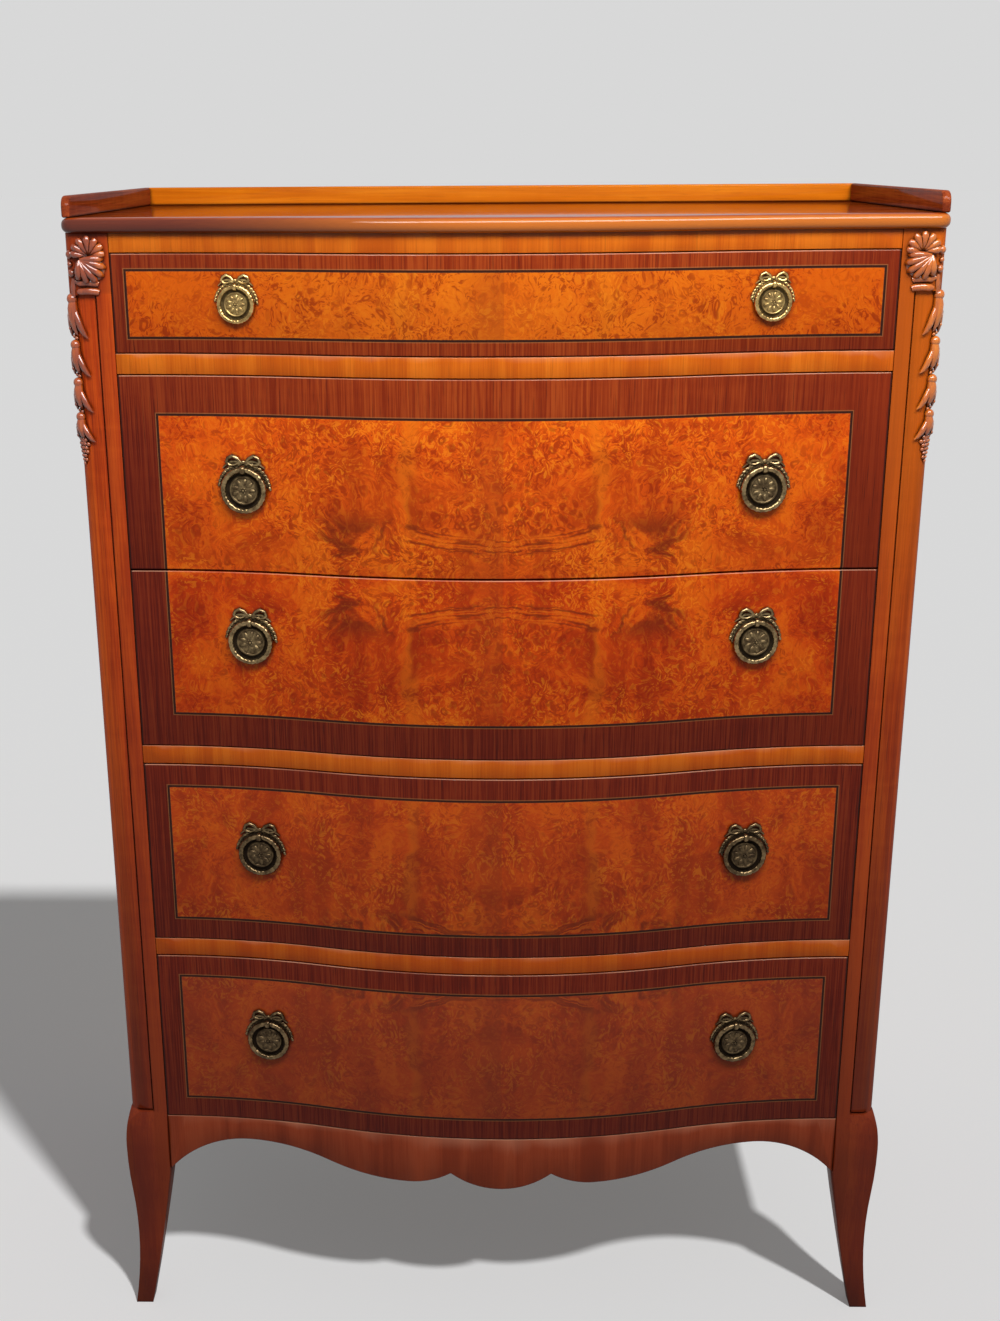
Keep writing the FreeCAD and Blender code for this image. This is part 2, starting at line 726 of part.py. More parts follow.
def setOnFace(name, source, height):
    item = group(name, [source])
    item.Placement = FreeCAD.Placement(FreeCAD.Vector(), FreeCAD.Rotation(FreeCAD.Vector(0, 0, 1), 1))
    item.setExpression("Placement.Rotation.Angle", formula(f"asin(pullInset / {bowRadius})"))
    pullX = f"({openHalf} - pullInset)"
    return bind(item, x=pullX, y=bowEndY("0", pullX), z=height)


# One drawer: bowed front lapped onto two sides, a back, a bottom in grooves, and two ring pulls
def drawer(number, pull):
    low = runnerTop[number]
    sideLow = f"({low} + runClearance)"
    sideHigh = f"({ceiling[number]} - sideDrop)"
    outerX = f"({openHalf} - sideClearance)"
    innerX = f"({outerX} - sideThickness)"
    endY = f"({backPlane} - rearGap)"
    bottomLow = f"({sideLow} + bottomRise)"
    bottomHigh = f"({bottomLow} + bottomThickness)"
    bottom = bowBoard(
        f"drawer_{number}_bottom",
        "-(frontThickness - bottomGroove)",
        f"({innerX} + bottomGroove)",
        endY,
        bottomLow,
        bottomHigh,
    )
    keep(bottom, f"drawer_{number}_bottom")
    lapY = f"({frontPlane} + frontThickness - lapDepth)"
    sideBlank = box(f"side{number}Blank", (innerX, outerX), (lapY, endY), (sideLow, sideHigh))
    side = cut(f"side{number}", sideBlank, bottom)
    sides = group(f"drawer_{number}_sides", [side, mirrored(f"side{number}Mirror", side)])
    keep(sides, f"drawer_{number}_sides")
    backPiece = box(
        f"drawer_{number}_back",
        (f"-{innerX}", innerX),
        (f"({endY} - backThickness)", endY),
        (bottomHigh, f"({sideHigh} - backDrop)"),
    )
    keep(backPiece, f"drawer_{number}_back")
    pullHeight = f"({lowOf[number]} + {spaceOf[number]} / 2 + {pullShift(number)})"
    drill = setOnFace(f"drill{number}", pull["drill"], pullHeight)
    frontLow = f"({lowOf[number]} + frontGap)"
    frontHigh = f"({lowOf[number]} + {spaceOf[number]} - frontGap)"
    frontHalf = f"({openHalf} - frontGap)"
    blank = bowBand(f"front{number}Blank", "0", "-frontThickness", frontHalf, frontLow, frontHigh)
    tool = fuse(f"front{number}Cuts", [bottom, sides, drill, mirrored(f"drill{number}Mirror", drill)])
    keep(cut(f"drawer_{number}_front", blank, tool), f"drawer_{number}_front")
    plate = setOnFace(f"plate{number}", pull["plate"], pullHeight)
    nut = setOnFace(f"nut{number}", pull["nut"], pullHeight)
    pieces = [plate, mirrored(f"plate{number}Mirror", plate), nut, mirrored(f"nut{number}Mirror", nut)]
    keep(group(f"pull_plates_{number}", pieces), f"pull_plates_{number}")
    keepPair(setOnFace(f"ring{number}", pull["ring"], pullHeight), f"pull_ring_{number}")


# The pulls sit at the middle of the figured panel, which the wide bands move on the second and third drawers
def pullShift(number):
    shifts = {1: "0", 2: "pullRise - wideBand / 2", 3: "pullRise + wideBand / 2"}
    return shifts.get(number, "pullRise")


# Carved drop: a shell and rosette over two rolls, a chain of husks down the corner, and berries below
def carvedDrops(post):
    faceCentreX = f"({openHalf} + rosetteX)"
    capitalLow = f"({caseTop} - capitalHeight)"
    shell = cylinder(
        "shell",
        "shellRadius",
        "shellThickness",
        faceCentreX,
        frontPlane,
        f"({capitalLow} + shellRise - shellRadius / 2)",
        towardFront,
    )
    rosette = doc.addObject("Part::Cone", "rosette")
    rosette.Placement = FreeCAD.Placement(FreeCAD.Vector(), towardFront)
    bind(
        rosette,
        Radius1="rosetteRadius",
        Radius2="(rosetteRadius - rosetteThickness)",
        Height="rosetteThickness",
        x=faceCentreX,
        y=frontPlane,
        z=f"({capitalLow} + rosetteRise - rosetteRadius / 2)",
    )
    pieces = [shell, rosette]
    for row in range(2):
        pieces.append(
            cylinder(
                f"roll{row}",
                "rollRadius",
                "rollLength",
                f"({faceCentreX} - rollLength / 3)",
                frontPlane,
                f"({capitalLow} + rollRise - rollRadius - {row} * rollStep)",
                alongX,
            )
        )
    # The chain follows the middle of the rounded corner
    chainX = f"({caseHalf} - (1 - sqrt(0.5)) * cornerRadius)"
    chainY = f"({frontPlane} + faceRecess + (1 - sqrt(0.5)) * cornerRadius)"
    for row in range(huskCount):
        husk = doc.addObject("Part::Cone", f"husk{row}")
        bind(
            husk,
            Radius1="huskRadius",
            Radius2="huskTip",
            Height="huskLength",
            x=chainX,
            y=chainY,
            z=f"({capitalLow} + huskTop - huskLength - {row} * huskStep)",
        )
        pieces.append(husk)
    chainEnd = f"({capitalLow} + huskTop - huskLength - {huskCount - 1} * huskStep)"
    for row in range(berryCount):
        berry = doc.addObject("Part::Sphere", f"berry{row}")
        bind(
            berry,
            Radius=f"berryRadius * (1 - {row} / (2 * {berryCount}))",
            x=chainX,
            y=chainY,
            z=f"({chainEnd} - {row} * berryStep)",
        )
        pieces.append(berry)
    carving = cut("carvedDrop", fuse("carvedBlank", pieces), post)
    keepPair(carving, "carved_drop")


topBoard()
gallery()
frontPosts()
rearPosts()
sidePanels()
frontRails()
apron()
rearRailBlanks = runnersAndPanels()
drawerStops()
backPanelAndScrews(rearRailBlanks)
carvedDrops(doc.getObject("frontPost"))
smallPull = pullMaster("smallPull", "smallPullShare")
largePull = pullMaster("largePull", "1")
for number in spaceOf:
    drawer(number, smallPull if number == 1 else largePull)
doc.recompute()

for item in doc.Objects:
    if "Invalid" in item.State or "Error" in item.State:
        raise RuntimeError(f"{item.Label} failed: {item.State}")
for item in nodes:
    if item.Shape.isNull() or not item.Shape.isValid():
        raise RuntimeError(f"{item.Label} has no valid shape")
os.makedirs("parts", exist_ok=True)
for item in nodes:
    item.Shape.exportStep(os.path.join("parts", f"{item.Label}.step"))
print(f"{len(nodes)} sub-parts written")
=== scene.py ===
import math

import bmesh
import bpy
from mathutils import Matrix, Vector


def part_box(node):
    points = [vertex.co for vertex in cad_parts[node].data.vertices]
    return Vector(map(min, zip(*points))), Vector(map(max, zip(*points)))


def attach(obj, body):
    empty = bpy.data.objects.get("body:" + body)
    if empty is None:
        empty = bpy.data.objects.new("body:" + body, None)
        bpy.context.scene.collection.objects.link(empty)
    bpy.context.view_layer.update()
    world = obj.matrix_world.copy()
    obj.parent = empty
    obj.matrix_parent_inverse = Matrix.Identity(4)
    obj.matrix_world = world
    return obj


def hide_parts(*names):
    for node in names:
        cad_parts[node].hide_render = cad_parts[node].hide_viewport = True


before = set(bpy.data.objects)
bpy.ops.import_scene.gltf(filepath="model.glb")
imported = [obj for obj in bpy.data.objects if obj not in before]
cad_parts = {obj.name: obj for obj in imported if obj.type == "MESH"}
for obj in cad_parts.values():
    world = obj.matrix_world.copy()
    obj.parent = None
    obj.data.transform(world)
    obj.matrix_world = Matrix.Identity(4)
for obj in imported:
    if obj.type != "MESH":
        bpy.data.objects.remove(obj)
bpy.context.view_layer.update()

scene = bpy.context.scene
scene.view_settings.view_transform = "Standard"
print("frame loaded")

# the bow: level at both ends, hollow arcs, then a round crown of the same radius
bow = {"half": 0.411, "frontY": -0.187, "depth": 0.047, "endSteps": 10, "crownSteps": 20}
bow["radius"] = (bow["half"] ** 2 + bow["depth"] ** 2) / (4 * bow["depth"])
bow["turn"] = math.asin(bow["half"] / 2 / bow["radius"])


# node helpers
def feed(tree, sockets, values):
    for label, value in values.items():
        if isinstance(value, bpy.types.NodeSocket):
            tree.links.new(value, sockets[label])
        else:
            sockets[label].default_value = value


def put(tree, kind, feeds=None, **props):
    node = tree.nodes.new("ShaderNode" + kind)
    for label, value in props.items():
        setattr(node, label, value)
    feed(tree, node.inputs, feeds or {})
    return node.outputs


def calc(tree, operation, first, second=0.0):
    return put(tree, "Math", {0: first, 1: second}, operation=operation)[0]


def times(tree, first, second):
    return calc(tree, "MULTIPLY", first, second)


def less(tree, first, second):
    return calc(tree, "SUBTRACT", first, second)


def away(tree, value, spot=0.0):
    return calc(tree, "ABSOLUTE", less(tree, value, spot))


def blend(tree, first, firstShare, second, secondShare):
    return calc(tree, "ADD", times(tree, first, firstShare), times(tree, second, secondShare))


def split(tree, vector):
    return put(tree, "SeparateXYZ", {0: vector})


def join(tree, x, y, z):
    return put(tree, "CombineXYZ", {0: x, 1: y, 2: z})[0]


def span(tree, value, low, high, toLow=0.0, toHigh=1.0):
    feeds = {"Value": value, "From Min": low, "From Max": high, "To Min": toLow, "To Max": toHigh}
    return put(tree, "MapRange", feeds, interpolation_type="SMOOTHSTEP")[0]


def mask(tree, table, **values):
    # product of smooth steps, with the limits that the table holds under each name
    product = None
    for name, value in values.items():
        step = span(tree, value, *table[name])
        product = step if product is None else times(tree, product, step)
    return product


def tint(tree, factor, first, second, mode="MIX"):
    return put(tree, "Mix", {0: factor, 6: first, 7: second}, data_type="RGBA", blend_type=mode)[2]


def lay(tree, colour, table, **masks):
    # the table's named paints over a colour, each as strong as its mask times its share
    for name, factor in masks.items():
        paint, share = table[name]
        colour = tint(tree, times(tree, factor, share), colour, (*paint, 1))
    return colour


def ramp(tree, factor, spots, colours):
    node = tree.nodes.new("ShaderNodeValToRGB")
    feed(tree, node.inputs, {"Fac": factor})
    elements = node.color_ramp.elements
    while len(elements) < len(spots):
        elements.new(0.5)
    for element, spot, colour in zip(elements, spots, colours):
        element.position = spot
        element.color = (*colour, 1)
    return node.outputs["Color"]


def noise(tree, vector, scale, detail=4.0, rough=0.55, twist=0.0, output="Fac"):
    feeds = {"Vector": vector, "Scale": scale, "Detail": detail, "Roughness": rough, "Distortion": twist}
    return put(tree, "TexNoise", feeds)[output]


def streaks(tree, vector, scale, *facts):
    return noise(tree, put(tree, "Mapping", {"Vector": vector, "Scale": scale})[0], 1, *facts)


def stray(tree, vector, scale, reach, base):
    # base, pushed about by a noise that is read at vector
    push = {0: noise(tree, vector, scale, 3, output="Color"), 1: (0.5, 0.5, 0.5)}
    shift = {0: put(tree, "VectorMath", push, operation="SUBTRACT")[0], 1: (reach, 0.0, reach), 2: base}
    return put(tree, "VectorMath", shift, operation="MULTIPLY_ADD")[0]


def newGroup(name, inputs, outputs):
    # an input without a value is a vector
    group = bpy.data.node_groups.new(name, "ShaderNodeTree")
    for label, value in inputs.items():
        kind = "NodeSocketVector" if value is None else "NodeSocketFloat"
        socket = group.interface.new_socket(label, in_out="INPUT", socket_type=kind)
        if value is not None:
            socket.default_value = value
    for label in outputs:
        group.interface.new_socket(label, in_out="OUTPUT", socket_type="NodeSocketFloat")
    return group, group.nodes.new("NodeGroupInput").outputs, group.nodes.new("NodeGroupOutput").inputs


def useGroup(tree, group, feeds):
    return put(tree, "Group", feeds, node_tree=group)


def startMaterial(name):
    material = bpy.data.materials.new(name)
    material.use_nodes = True
    tree = material.node_tree
    return material, tree, tree.nodes["Principled BSDF"], put(tree, "TexCoord")["Object"]


# shared effects
burl = {
    "swirl": (13, 0.045), "wisp": (55, 0.02), "cut": (40, 0.02), "unlike": 0.35,
    "clouds": (15, 5, 0.58, 0.8), "cloudShare": 0.68, "flames": ((60, 1, 9), 3, 0.55), "flameShare": 0.32,
    "tone": (0.37, 0.63),
    "curls": (85, 2, 0.6, 2.6), "curlShare": 0.68, "crisp": (190, 2, 0.6, 1.6), "crispShare": 0.32,
    "red": (0.4, 0.475, 1, 0), "gold": (0.515, 0.58),
    "livelyAt": (19, 3, 0.55), "lively": (0.4, 0.58, 0.35, 1.0),
    "patchAt": (17, 3, 0.55, 0.3), "patch": (0.43, 0.6, 0.35, 1.0),
    "eyes": {"Scale": 105, "Randomness": 0.9}, "eyeIn": (0.1, 0.24), "eyeOut": (0.34, 0.52, 1, 0),
    "eyeChosen": (0.62, 0.8),
    "centreWide": (0.08, 0.105, 1, 0), "centreLow": (0.044, 0.052), "centreHigh": (0.08, 0.1, 1, 0),
    "sway": 0.05, "streakAt": 0.1, "streak": (0.002, 0.012, 1, 0), "streakLow": (0.04, 0.07), "streakShare": 0.5,
    "hang": 1.4, "hangFrom": 0.036, "hangSway": 0.35, "waves": ((14, 1, 210), 3, 0.6, 0.4),
    "wave": (0.36, 0.62, -1, 1), "ridgeHigh": (0.005, 0.014, 1, 0), "ridgeWide": (0.085, 0.12, 1, 0),
    "smokeAt": 0.155, "smokeWide": (0.03, 0.07, 1, 0), "smokeLow": (0.008, 0.024),
    "smokeHigh": (0.045, 0.085, 1, 0), "smoke": (0.44, 0.58, -0.8, 0),
}


def makeBurl():
    # clouds, curls, eyes and smoky ridges, matched about the middle and about one height
    group, given, out = newGroup("burl figure", {"Vector": None, "Match Height": 0.0, "Leaf": 0.0},
                                 ("Tone", "Red", "Gold", "Ridge"))
    axes = split(group, given["Vector"])
    across = away(group, axes["X"])
    upward = away(group, axes["Z"], given["Match Height"])
    leaf = join(group, across, given["Leaf"], upward)
    swirl = stray(group, leaf, *burl["swirl"], leaf)
    wisp = stray(group, swirl, *burl["wisp"], swirl)
    # the two halves differ a little in the fine curls, as cut veneers do
    cut = join(group, across, times(group, axes["X"], burl["unlike"]), upward)
    cut = stray(group, swirl, *burl["cut"], stray(group, leaf, *burl["swirl"], cut))
    broad = noise(group, wisp, *burl["clouds"])
    tone = blend(group, broad, burl["cloudShare"], streaks(group, wisp, *burl["flames"]), burl["flameShare"])
    # curls: short knotted strokes of red and gold, thick in patches
    curl = blend(group, noise(group, cut, *burl["curls"]), burl["curlShare"],
                 noise(group, cut, *burl["crisp"]), burl["crispShare"])
    lively = mask(group, burl, lively=noise(group, swirl, *burl["livelyAt"]))
    centre = mask(group, burl, centreWide=across, centreLow=upward, centreHigh=upward)
    eyes = put(group, "TexVoronoi", {"Vector": cut, **burl["eyes"]})
    chosen = mask(group, burl, eyeChosen=put(group, "SeparateColor", {0: eyes["Color"]})[0])
    knot = times(group, mask(group, burl, eyeIn=eyes["Distance"], eyeOut=eyes["Distance"]),
                 calc(group, "MAXIMUM", times(group, chosen, lively), centre))
    red = calc(group, "MAXIMUM", times(group, mask(group, burl, red=curl), lively), knot)
    sway = times(group, less(group, broad, 0.5), burl["sway"])
    off = away(group, calc(group, "ADD", across, sway), burl["streakAt"])
    streak = times(group, mask(group, burl, streak=off, streakLow=upward), burl["streakShare"])
    gold = mask(group, burl, gold=curl, patch=noise(group, swirl, *burl["patchAt"]))
    # smoky ridges that hang between two nodes beside the matched line, and clouds outside the nodes
    hang = calc(group, "ADD", times(group, times(group, across, across), burl["hang"]), burl["hangFrom"])
    crest = calc(group, "ADD", less(group, upward, hang), times(group, sway, burl["hangSway"]))
    wave = streaks(group, join(group, across, given["Leaf"], crest), *burl["waves"])
    ridge = mask(group, burl, wave=wave, ridgeHigh=away(group, crest), ridgeWide=across)
    smoke = mask(group, burl, smokeWide=away(group, across, burl["smokeAt"]), smokeLow=upward, smokeHigh=upward,
                 smoke=broad)
    feed(group, out, {"Tone": mask(group, burl, tone=tone), "Red": red,
                      "Gold": calc(group, "MAXIMUM", gold, streak), "Ridge": calc(group, "ADD", ridge, smoke)})
    return group


lines = {"edge": (-0.0001, 0.0001, 1, 0), "ebonyAt": 0.0003, "ebony": (0.0011, 0.0014, 1, 0),
         "boxAt": -0.0001, "box": (0.0016, 0.002, 1, 0)}


def makeLayout():
    # signed distance to the stringing, from which field, crossband and lines are told apart
    group, given, out = newGroup("veneer layout", {"Vector": None, "Side": 0.0, "Bottom": 0.0, "Top": 0.0},
                                 ("Band", "Ebony", "Box"))
    axes = split(group, given["Vector"])
    fromSide = less(group, given["Side"], away(group, axes["X"]))
    fromTop = less(group, given["Top"], axes["Z"])
    fromBottom = less(group, axes["Z"], given["Bottom"])
    inside = calc(group, "MINIMUM", fromSide, calc(group, "MINIMUM", fromTop, fromBottom))
    feed(group, out, {"Band": mask(group, lines, edge=inside),
                      "Ebony": mask(group, lines, ebony=away(group, inside, lines["ebonyAt"])),
                      "Box": mask(group, lines, box=away(group, inside, lines["boxAt"]))})
    return group


fibres = {"swell": ((34, 34, 2.2), 4, 0.55, 0.5), "line": ((520, 520, 9), 3, 0.6),
          "ribbon": ((9, 9, 46), 3, 0.5, 0.7), "tone": (-0.17, 0.17),
          "pores": ((900, 900, 24), 2, 0.5), "pore": (0.6, 0.7)}


def makeGrain():
    # long fibre lines with pores along z; the Mapping before it turns them
    group, given, out = newGroup("wood grain", {"Vector": None, "Figure": 0.3, "Fibre": 0.4}, ("Tone", "Pore"))
    shares = {"swell": less(group, 1.0, given["Fibre"]), "line": given["Fibre"], "ribbon": given["Figure"]}
    swell, line, ribbon = (times(group, less(group, streaks(group, given["Vector"], *fibres[name]), 0.5), share)
                           for name, share in shares.items())
    tone = calc(group, "ADD", calc(group, "ADD", swell, line), ribbon)
    feed(group, out, {"Tone": mask(group, fibres, tone=tone),
                      "Pore": mask(group, fibres, pore=streaks(group, given["Vector"], *fibres["pores"]))})
    return group


hollows = {"samples": 8, "shade": (0.35, 0.85, 1, 0), "blotches": (160, 5, 0.65), "blotch": (0.35, 0.68)}


def makeWear():
    # hollows that keep dirt and old polish, with painted shade: ambient occlusion darkens creases, recesses and the
    # places between parts
    group, given, out = newGroup("dirt in hollows", {"Vector": None, "Reach": 0.004}, ("Hollow", "Blotch"))
    shade = put(group, "AmbientOcclusion", {"Distance": given["Reach"]}, samples=hollows["samples"])["AO"]
    blotch = noise(group, given["Vector"], *hollows["blotches"])
    feed(group, out, {"Hollow": mask(group, hollows, shade=shade), "Blotch": mask(group, hollows, blotch=blotch)})
    return group


arris = {"leanFrom": (0.12, 0.4), "leanTo": (0.8, 0.95, 1, 0), "patches": (7, 3), "patch": (0.3, 0.6, 0.35, 1.0),
         "worn": ((0.8, 0.42, 0.26), 1.0)}


def makeArris():
    # painted highlight along the upper edges: where the face turns from upright to level
    group, given, out = newGroup("worn arris", {"Normal": None, "Vector": None}, ("Edge",))
    lean = split(group, given["Normal"])["Z"]
    patch = noise(group, given["Vector"], *arris["patches"])
    feed(group, out, {"Edge": mask(group, arris, leanFrom=lean, leanTo=lean, patch=patch)})
    return group


burlFigure = makeBurl()
veneerLayout = makeLayout()
woodGrain = makeGrain()
hollowDirt = makeWear()
wornArris = makeArris()

# finishes; a paint is a colour and its share
varnish = {"Specular IOR Level": 0.0, "Coat Weight": 0.2, "Coat Roughness": 0.06, "Coat IOR": 1.5}
thickPolish = {"Coat Weight": 1.0, "Coat Roughness": 0.1, "Coat IOR": 1.75}


def wearArris(tree, coords, colour, amount):
    edge = useGroup(tree, wornArris, {"Normal": put(tree, "NewGeometry")["Normal"], "Vector": coords})["Edge"]
    return lay(tree, colour, arris, worn=times(tree, edge, amount))


def addBump(tree, shader, height, strength, distance=0.0004):
    bump = put(tree, "Bump", {"Height": height, "Strength": strength, "Distance": distance})
    feed(tree, shader.inputs, {"Normal": bump[0]})


dovetails = {"middle": 0.018, "half": 0.195, "depth": 0.012, "pitch": 0.034, "pin": 0.003, "slope": 0.22,
             "end": (0.012, 0.0123, 1, 0), "edge": (-0.0002, 0.0002, 1, 0), "seam": (0.0003, 0.0006, 1, 0),
             "scribe": (0.0002, 0.0005, 1, 0), "endGrain": ((0.2, 0.1, 0.045), 0.8),
             "gap": ((0.06, 0.03, 0.015), 0.6)}


def cutDovetails(tree, coords, colour):
    # end grain pins between the tails at both ends of a drawer side, with the scribed line behind them
    axes = split(tree, coords)
    fromEnd = less(tree, dovetails["half"], away(tree, axes["Y"], dovetails["middle"]))
    width = calc(tree, "ADD", times(tree, fromEnd, dovetails["slope"]), dovetails["pin"])
    pin = less(tree, calc(tree, "PINGPONG", axes["Z"], dovetails["pitch"] / 2), width)
    seam = mask(tree, dovetails, end=fromEnd, seam=away(tree, pin))
    scribe = mask(tree, dovetails, scribe=away(tree, fromEnd, dovetails["depth"]))
    return lay(tree, colour, dovetails, endGrain=mask(tree, dovetails, end=fromEnd, edge=pin),
               gap=calc(tree, "MAXIMUM", seam, scribe))


postTones = {"inner": (0.4262, 0.4286), "outer": (0.453, 0.4572), "dark": ((0.16, 0.02, 0.005), 1.0),
             "capital": (1.258, 1.266), "capitalSide": (-0.2, 0.2, 0.6, 0.2),
             "goldenSide": (0, 0.1), "goldenHigh": (0.75, 1.2, 0, 0.65), "golden": ((0.66, 0.15, 0.006), 1.0)}


def tonePost(tree, coords, colour, strip):
    # painted light and shade: the right post lighter above as painted light; painted shade in the groove of the inner
    # strip, on the outer edge and on the capital, darkest on the left post
    axes = split(tree, coords)
    fromMiddle = away(tree, axes["X"])
    golden = mask(tree, postTones, goldenSide=axes["X"], goldenHigh=axes["Z"])
    edges = calc(tree, "MAXIMUM", span(tree, fromMiddle, *postTones["inner"], strip, 0),
                 span(tree, fromMiddle, *postTones["outer"], 0, strip))
    head = mask(tree, postTones, capital=axes["Z"], capitalSide=axes["X"])
    return lay(tree, colour, postTones, golden=golden, dark=calc(tree, "MAXIMUM", edges, head))


rim = {"lean": (0.6, 0.98), "along": (-0.36, 0.02), "left": (0.09, 0.016, 0.008, 1), "right": (0.56, 0.15, 0.012, 1)}


def toneRim(tree, coords, colour, amount):
    # the upright edge of the top: painted shade and painted reflection, dark on the left, and painted light, golden on
    # the right
    lean = split(tree, put(tree, "NewGeometry")["Normal"])["Z"]
    along = mask(tree, rim, along=split(tree, coords)["X"])
    return tint(tree, span(tree, lean, *rim["lean"], amount, 0), colour, tint(tree, along, rim["left"], rim["right"]))


woods = {
    "spots": (0.1, 0.5, 0.9),
    "post": ((0.41, 0.039, 0.004), (0.58, 0.071, 0.006), (0.73, 0.112, 0.009)),
    "carved": ((0.42, 0.08, 0.005), (0.57, 0.135, 0.007), (0.7, 0.2, 0.01)),
    "carvedDark": ((0.25, 0.036, 0.005), (0.39, 0.064, 0.007), (0.52, 0.112, 0.01)),
    "rail": ((0.5, 0.088, 0.004), (0.58, 0.118, 0.005), (0.66, 0.155, 0.008)),
    "top": ((0.22, 0.027, 0.003), (0.31, 0.044, 0.004), (0.4, 0.071, 0.006)),
    "galleryBack": ((0.54, 0.125, 0.004), (0.63, 0.16, 0.005), (0.72, 0.21, 0.008)),
    "galleryEnd": ((0.16, 0.022, 0.006), (0.26, 0.042, 0.01), (0.36, 0.07, 0.016)),
    "apron": ((0.22, 0.03, 0.008), (0.27, 0.04, 0.011), (0.31, 0.052, 0.016)),
    "box": ((0.34, 0.19, 0.085), (0.47, 0.29, 0.14), (0.58, 0.38, 0.2)),
    "panel": ((0.4, 0.25, 0.13), (0.52, 0.35, 0.2), (0.6, 0.43, 0.27)),
    "pore": ((0.04, 0.012, 0.006), 1.0), "foot": ((0.035, 0.008, 0.005), 1.0), "hollow": ((0.02, 0.006, 0.004), 1.0),
}
quarter = math.pi / 2
grainTurns = {"X": (0, quarter, 0), "Y": (quarter, 0, 0), "Z": (0, 0, 0)}


def solidWood(name, wood, axis, look, low=None):
    # axis is the way the grain runs, low is a painted shade that deepens downwards
    material, tree, shader, coords = startMaterial(name)
    laid = put(tree, "Mapping", {"Vector": coords, "Rotation": grainTurns[axis]})[0]
    grain = useGroup(tree, woodGrain, {"Vector": laid, "Figure": look["figure"], "Fibre": look["fibre"]})
    colour = lay(tree, ramp(tree, grain["Tone"], woods["spots"], woods[wood]), woods,
                 pore=times(tree, grain["Pore"], look["pores"]))
    if low:
        height = split(tree, coords)["Z"]
        colour = lay(tree, colour, low, stain=mask(tree, low, height=height))
        colour = lay(tree, colour, woods, foot=mask(tree, low, foot=height))
    if look["dovetailed"]:
        colour = cutDovetails(tree, coords, colour)
    # painted light and painted shade on the front posts
    if look["strip"]:
        colour = tonePost(tree, coords, colour, look["strip"])
    # painted shade, reflection and light on the upright edge of the top
    if look["rim"]:
        colour = toneRim(tree, coords, colour, look["rim"])
    # dirt and painted shade: ambient occlusion darkens hollows and the places between parts
    hollow = useGroup(tree, hollowDirt, {"Vector": coords, "Reach": look["reach"]})["Hollow"]
    colour = lay(tree, colour, woods, hollow=times(tree, hollow, look["dirt"]))
    # painted highlight along the upper edges
    if look["arris"]:
        colour = wearArris(tree, coords, colour, look["arris"])
    feed(tree, shader.inputs, {**look["finish"], "Base Color": colour, "Roughness": look["rough"]})
    addBump(tree, shader, grain["Tone"], look["bump"])
    return material


polished = {"figure": 0.12, "fibre": 0.35, "pores": 0.35, "reach": 0.006, "dirt": 0.7, "bump": 0.06, "rough": 0.34,
            "arris": 0.0, "rim": 0.0, "strip": 0.0, "dovetailed": False, "finish": varnish}
bare = {**polished, "figure": 0.08, "pores": 0.3, "dirt": 0.5, "bump": 0.15, "rough": 0.62,
        "finish": {"Specular IOR Level": 0.2}}
carved = {**polished, "fibre": 0.2, "reach": 0.009, "dirt": 0.95, "finish": {**varnish, **thickPolish}}
topPolish = {**polished, "figure": 0.05, "rough": 0.26, "rim": 0.85, "finish": {**varnish, "Coat Weight": 0.75}}
# painted shade: darker downwards, and darker still at the foot
legStain = {"height": (0.2, 1.1, 1, 0), "stain": ((0.12, 0.018, 0.01), 0.78), "foot": (0, 0.1, 0.55, 0)}
railStain = {"height": (0.45, 1.1, 1, 0), "stain": ((0.3, 0.018, 0.002), 0.42), "foot": (0, 0.1, 0, 0)}
frontPostWood = solidWood("front post mahogany", "post", "Z", {**polished, "strip": 0.36}, legStain)
postWood = solidWood("post mahogany", "post", "Z", polished, legStain)
railWood = solidWood("rail cross veneer", "rail", "Z",
                     {**polished, "fibre": 0.3, "pores": 0.2, "arris": 0.4}, railStain)
topWood = solidWood("top mahogany", "top", "X", topPolish)
galleryBackWood = solidWood("gallery back mahogany", "galleryBack", "X",
                            {**polished, "figure": 0.05, "fibre": 0.2, "pores": 0.15})
# the gallery ends are a shaded copy of the gallery wood: painted shade
galleryWood = solidWood("gallery end mahogany", "galleryEnd", "Y", polished)
apronWood = solidWood("apron veneer", "apron", "Z",
                      {**polished, "figure": 0.06, "fibre": 0.22, "pores": 0.15, "arris": 0.4})
# the left drop is a shaded copy of the carved wood: painted shade
carvedWoods = {"right": solidWood("carved mahogany", "carved", "Z", carved),
               "left": solidWood("carved mahogany, darker", "carvedDark", "Z", carved)}
boxWood = solidWood("drawer oak", "box", "Y", bare)
sideWood = solidWood("drawer oak, dovetailed", "box", "Y", {**bare, "dovetailed": True})
boxWoodAcross = solidWood("drawer oak across", "box", "X", bare)
panelWood = solidWood("panel ply", "panel", "X", {**bare, "figure": 0.2})

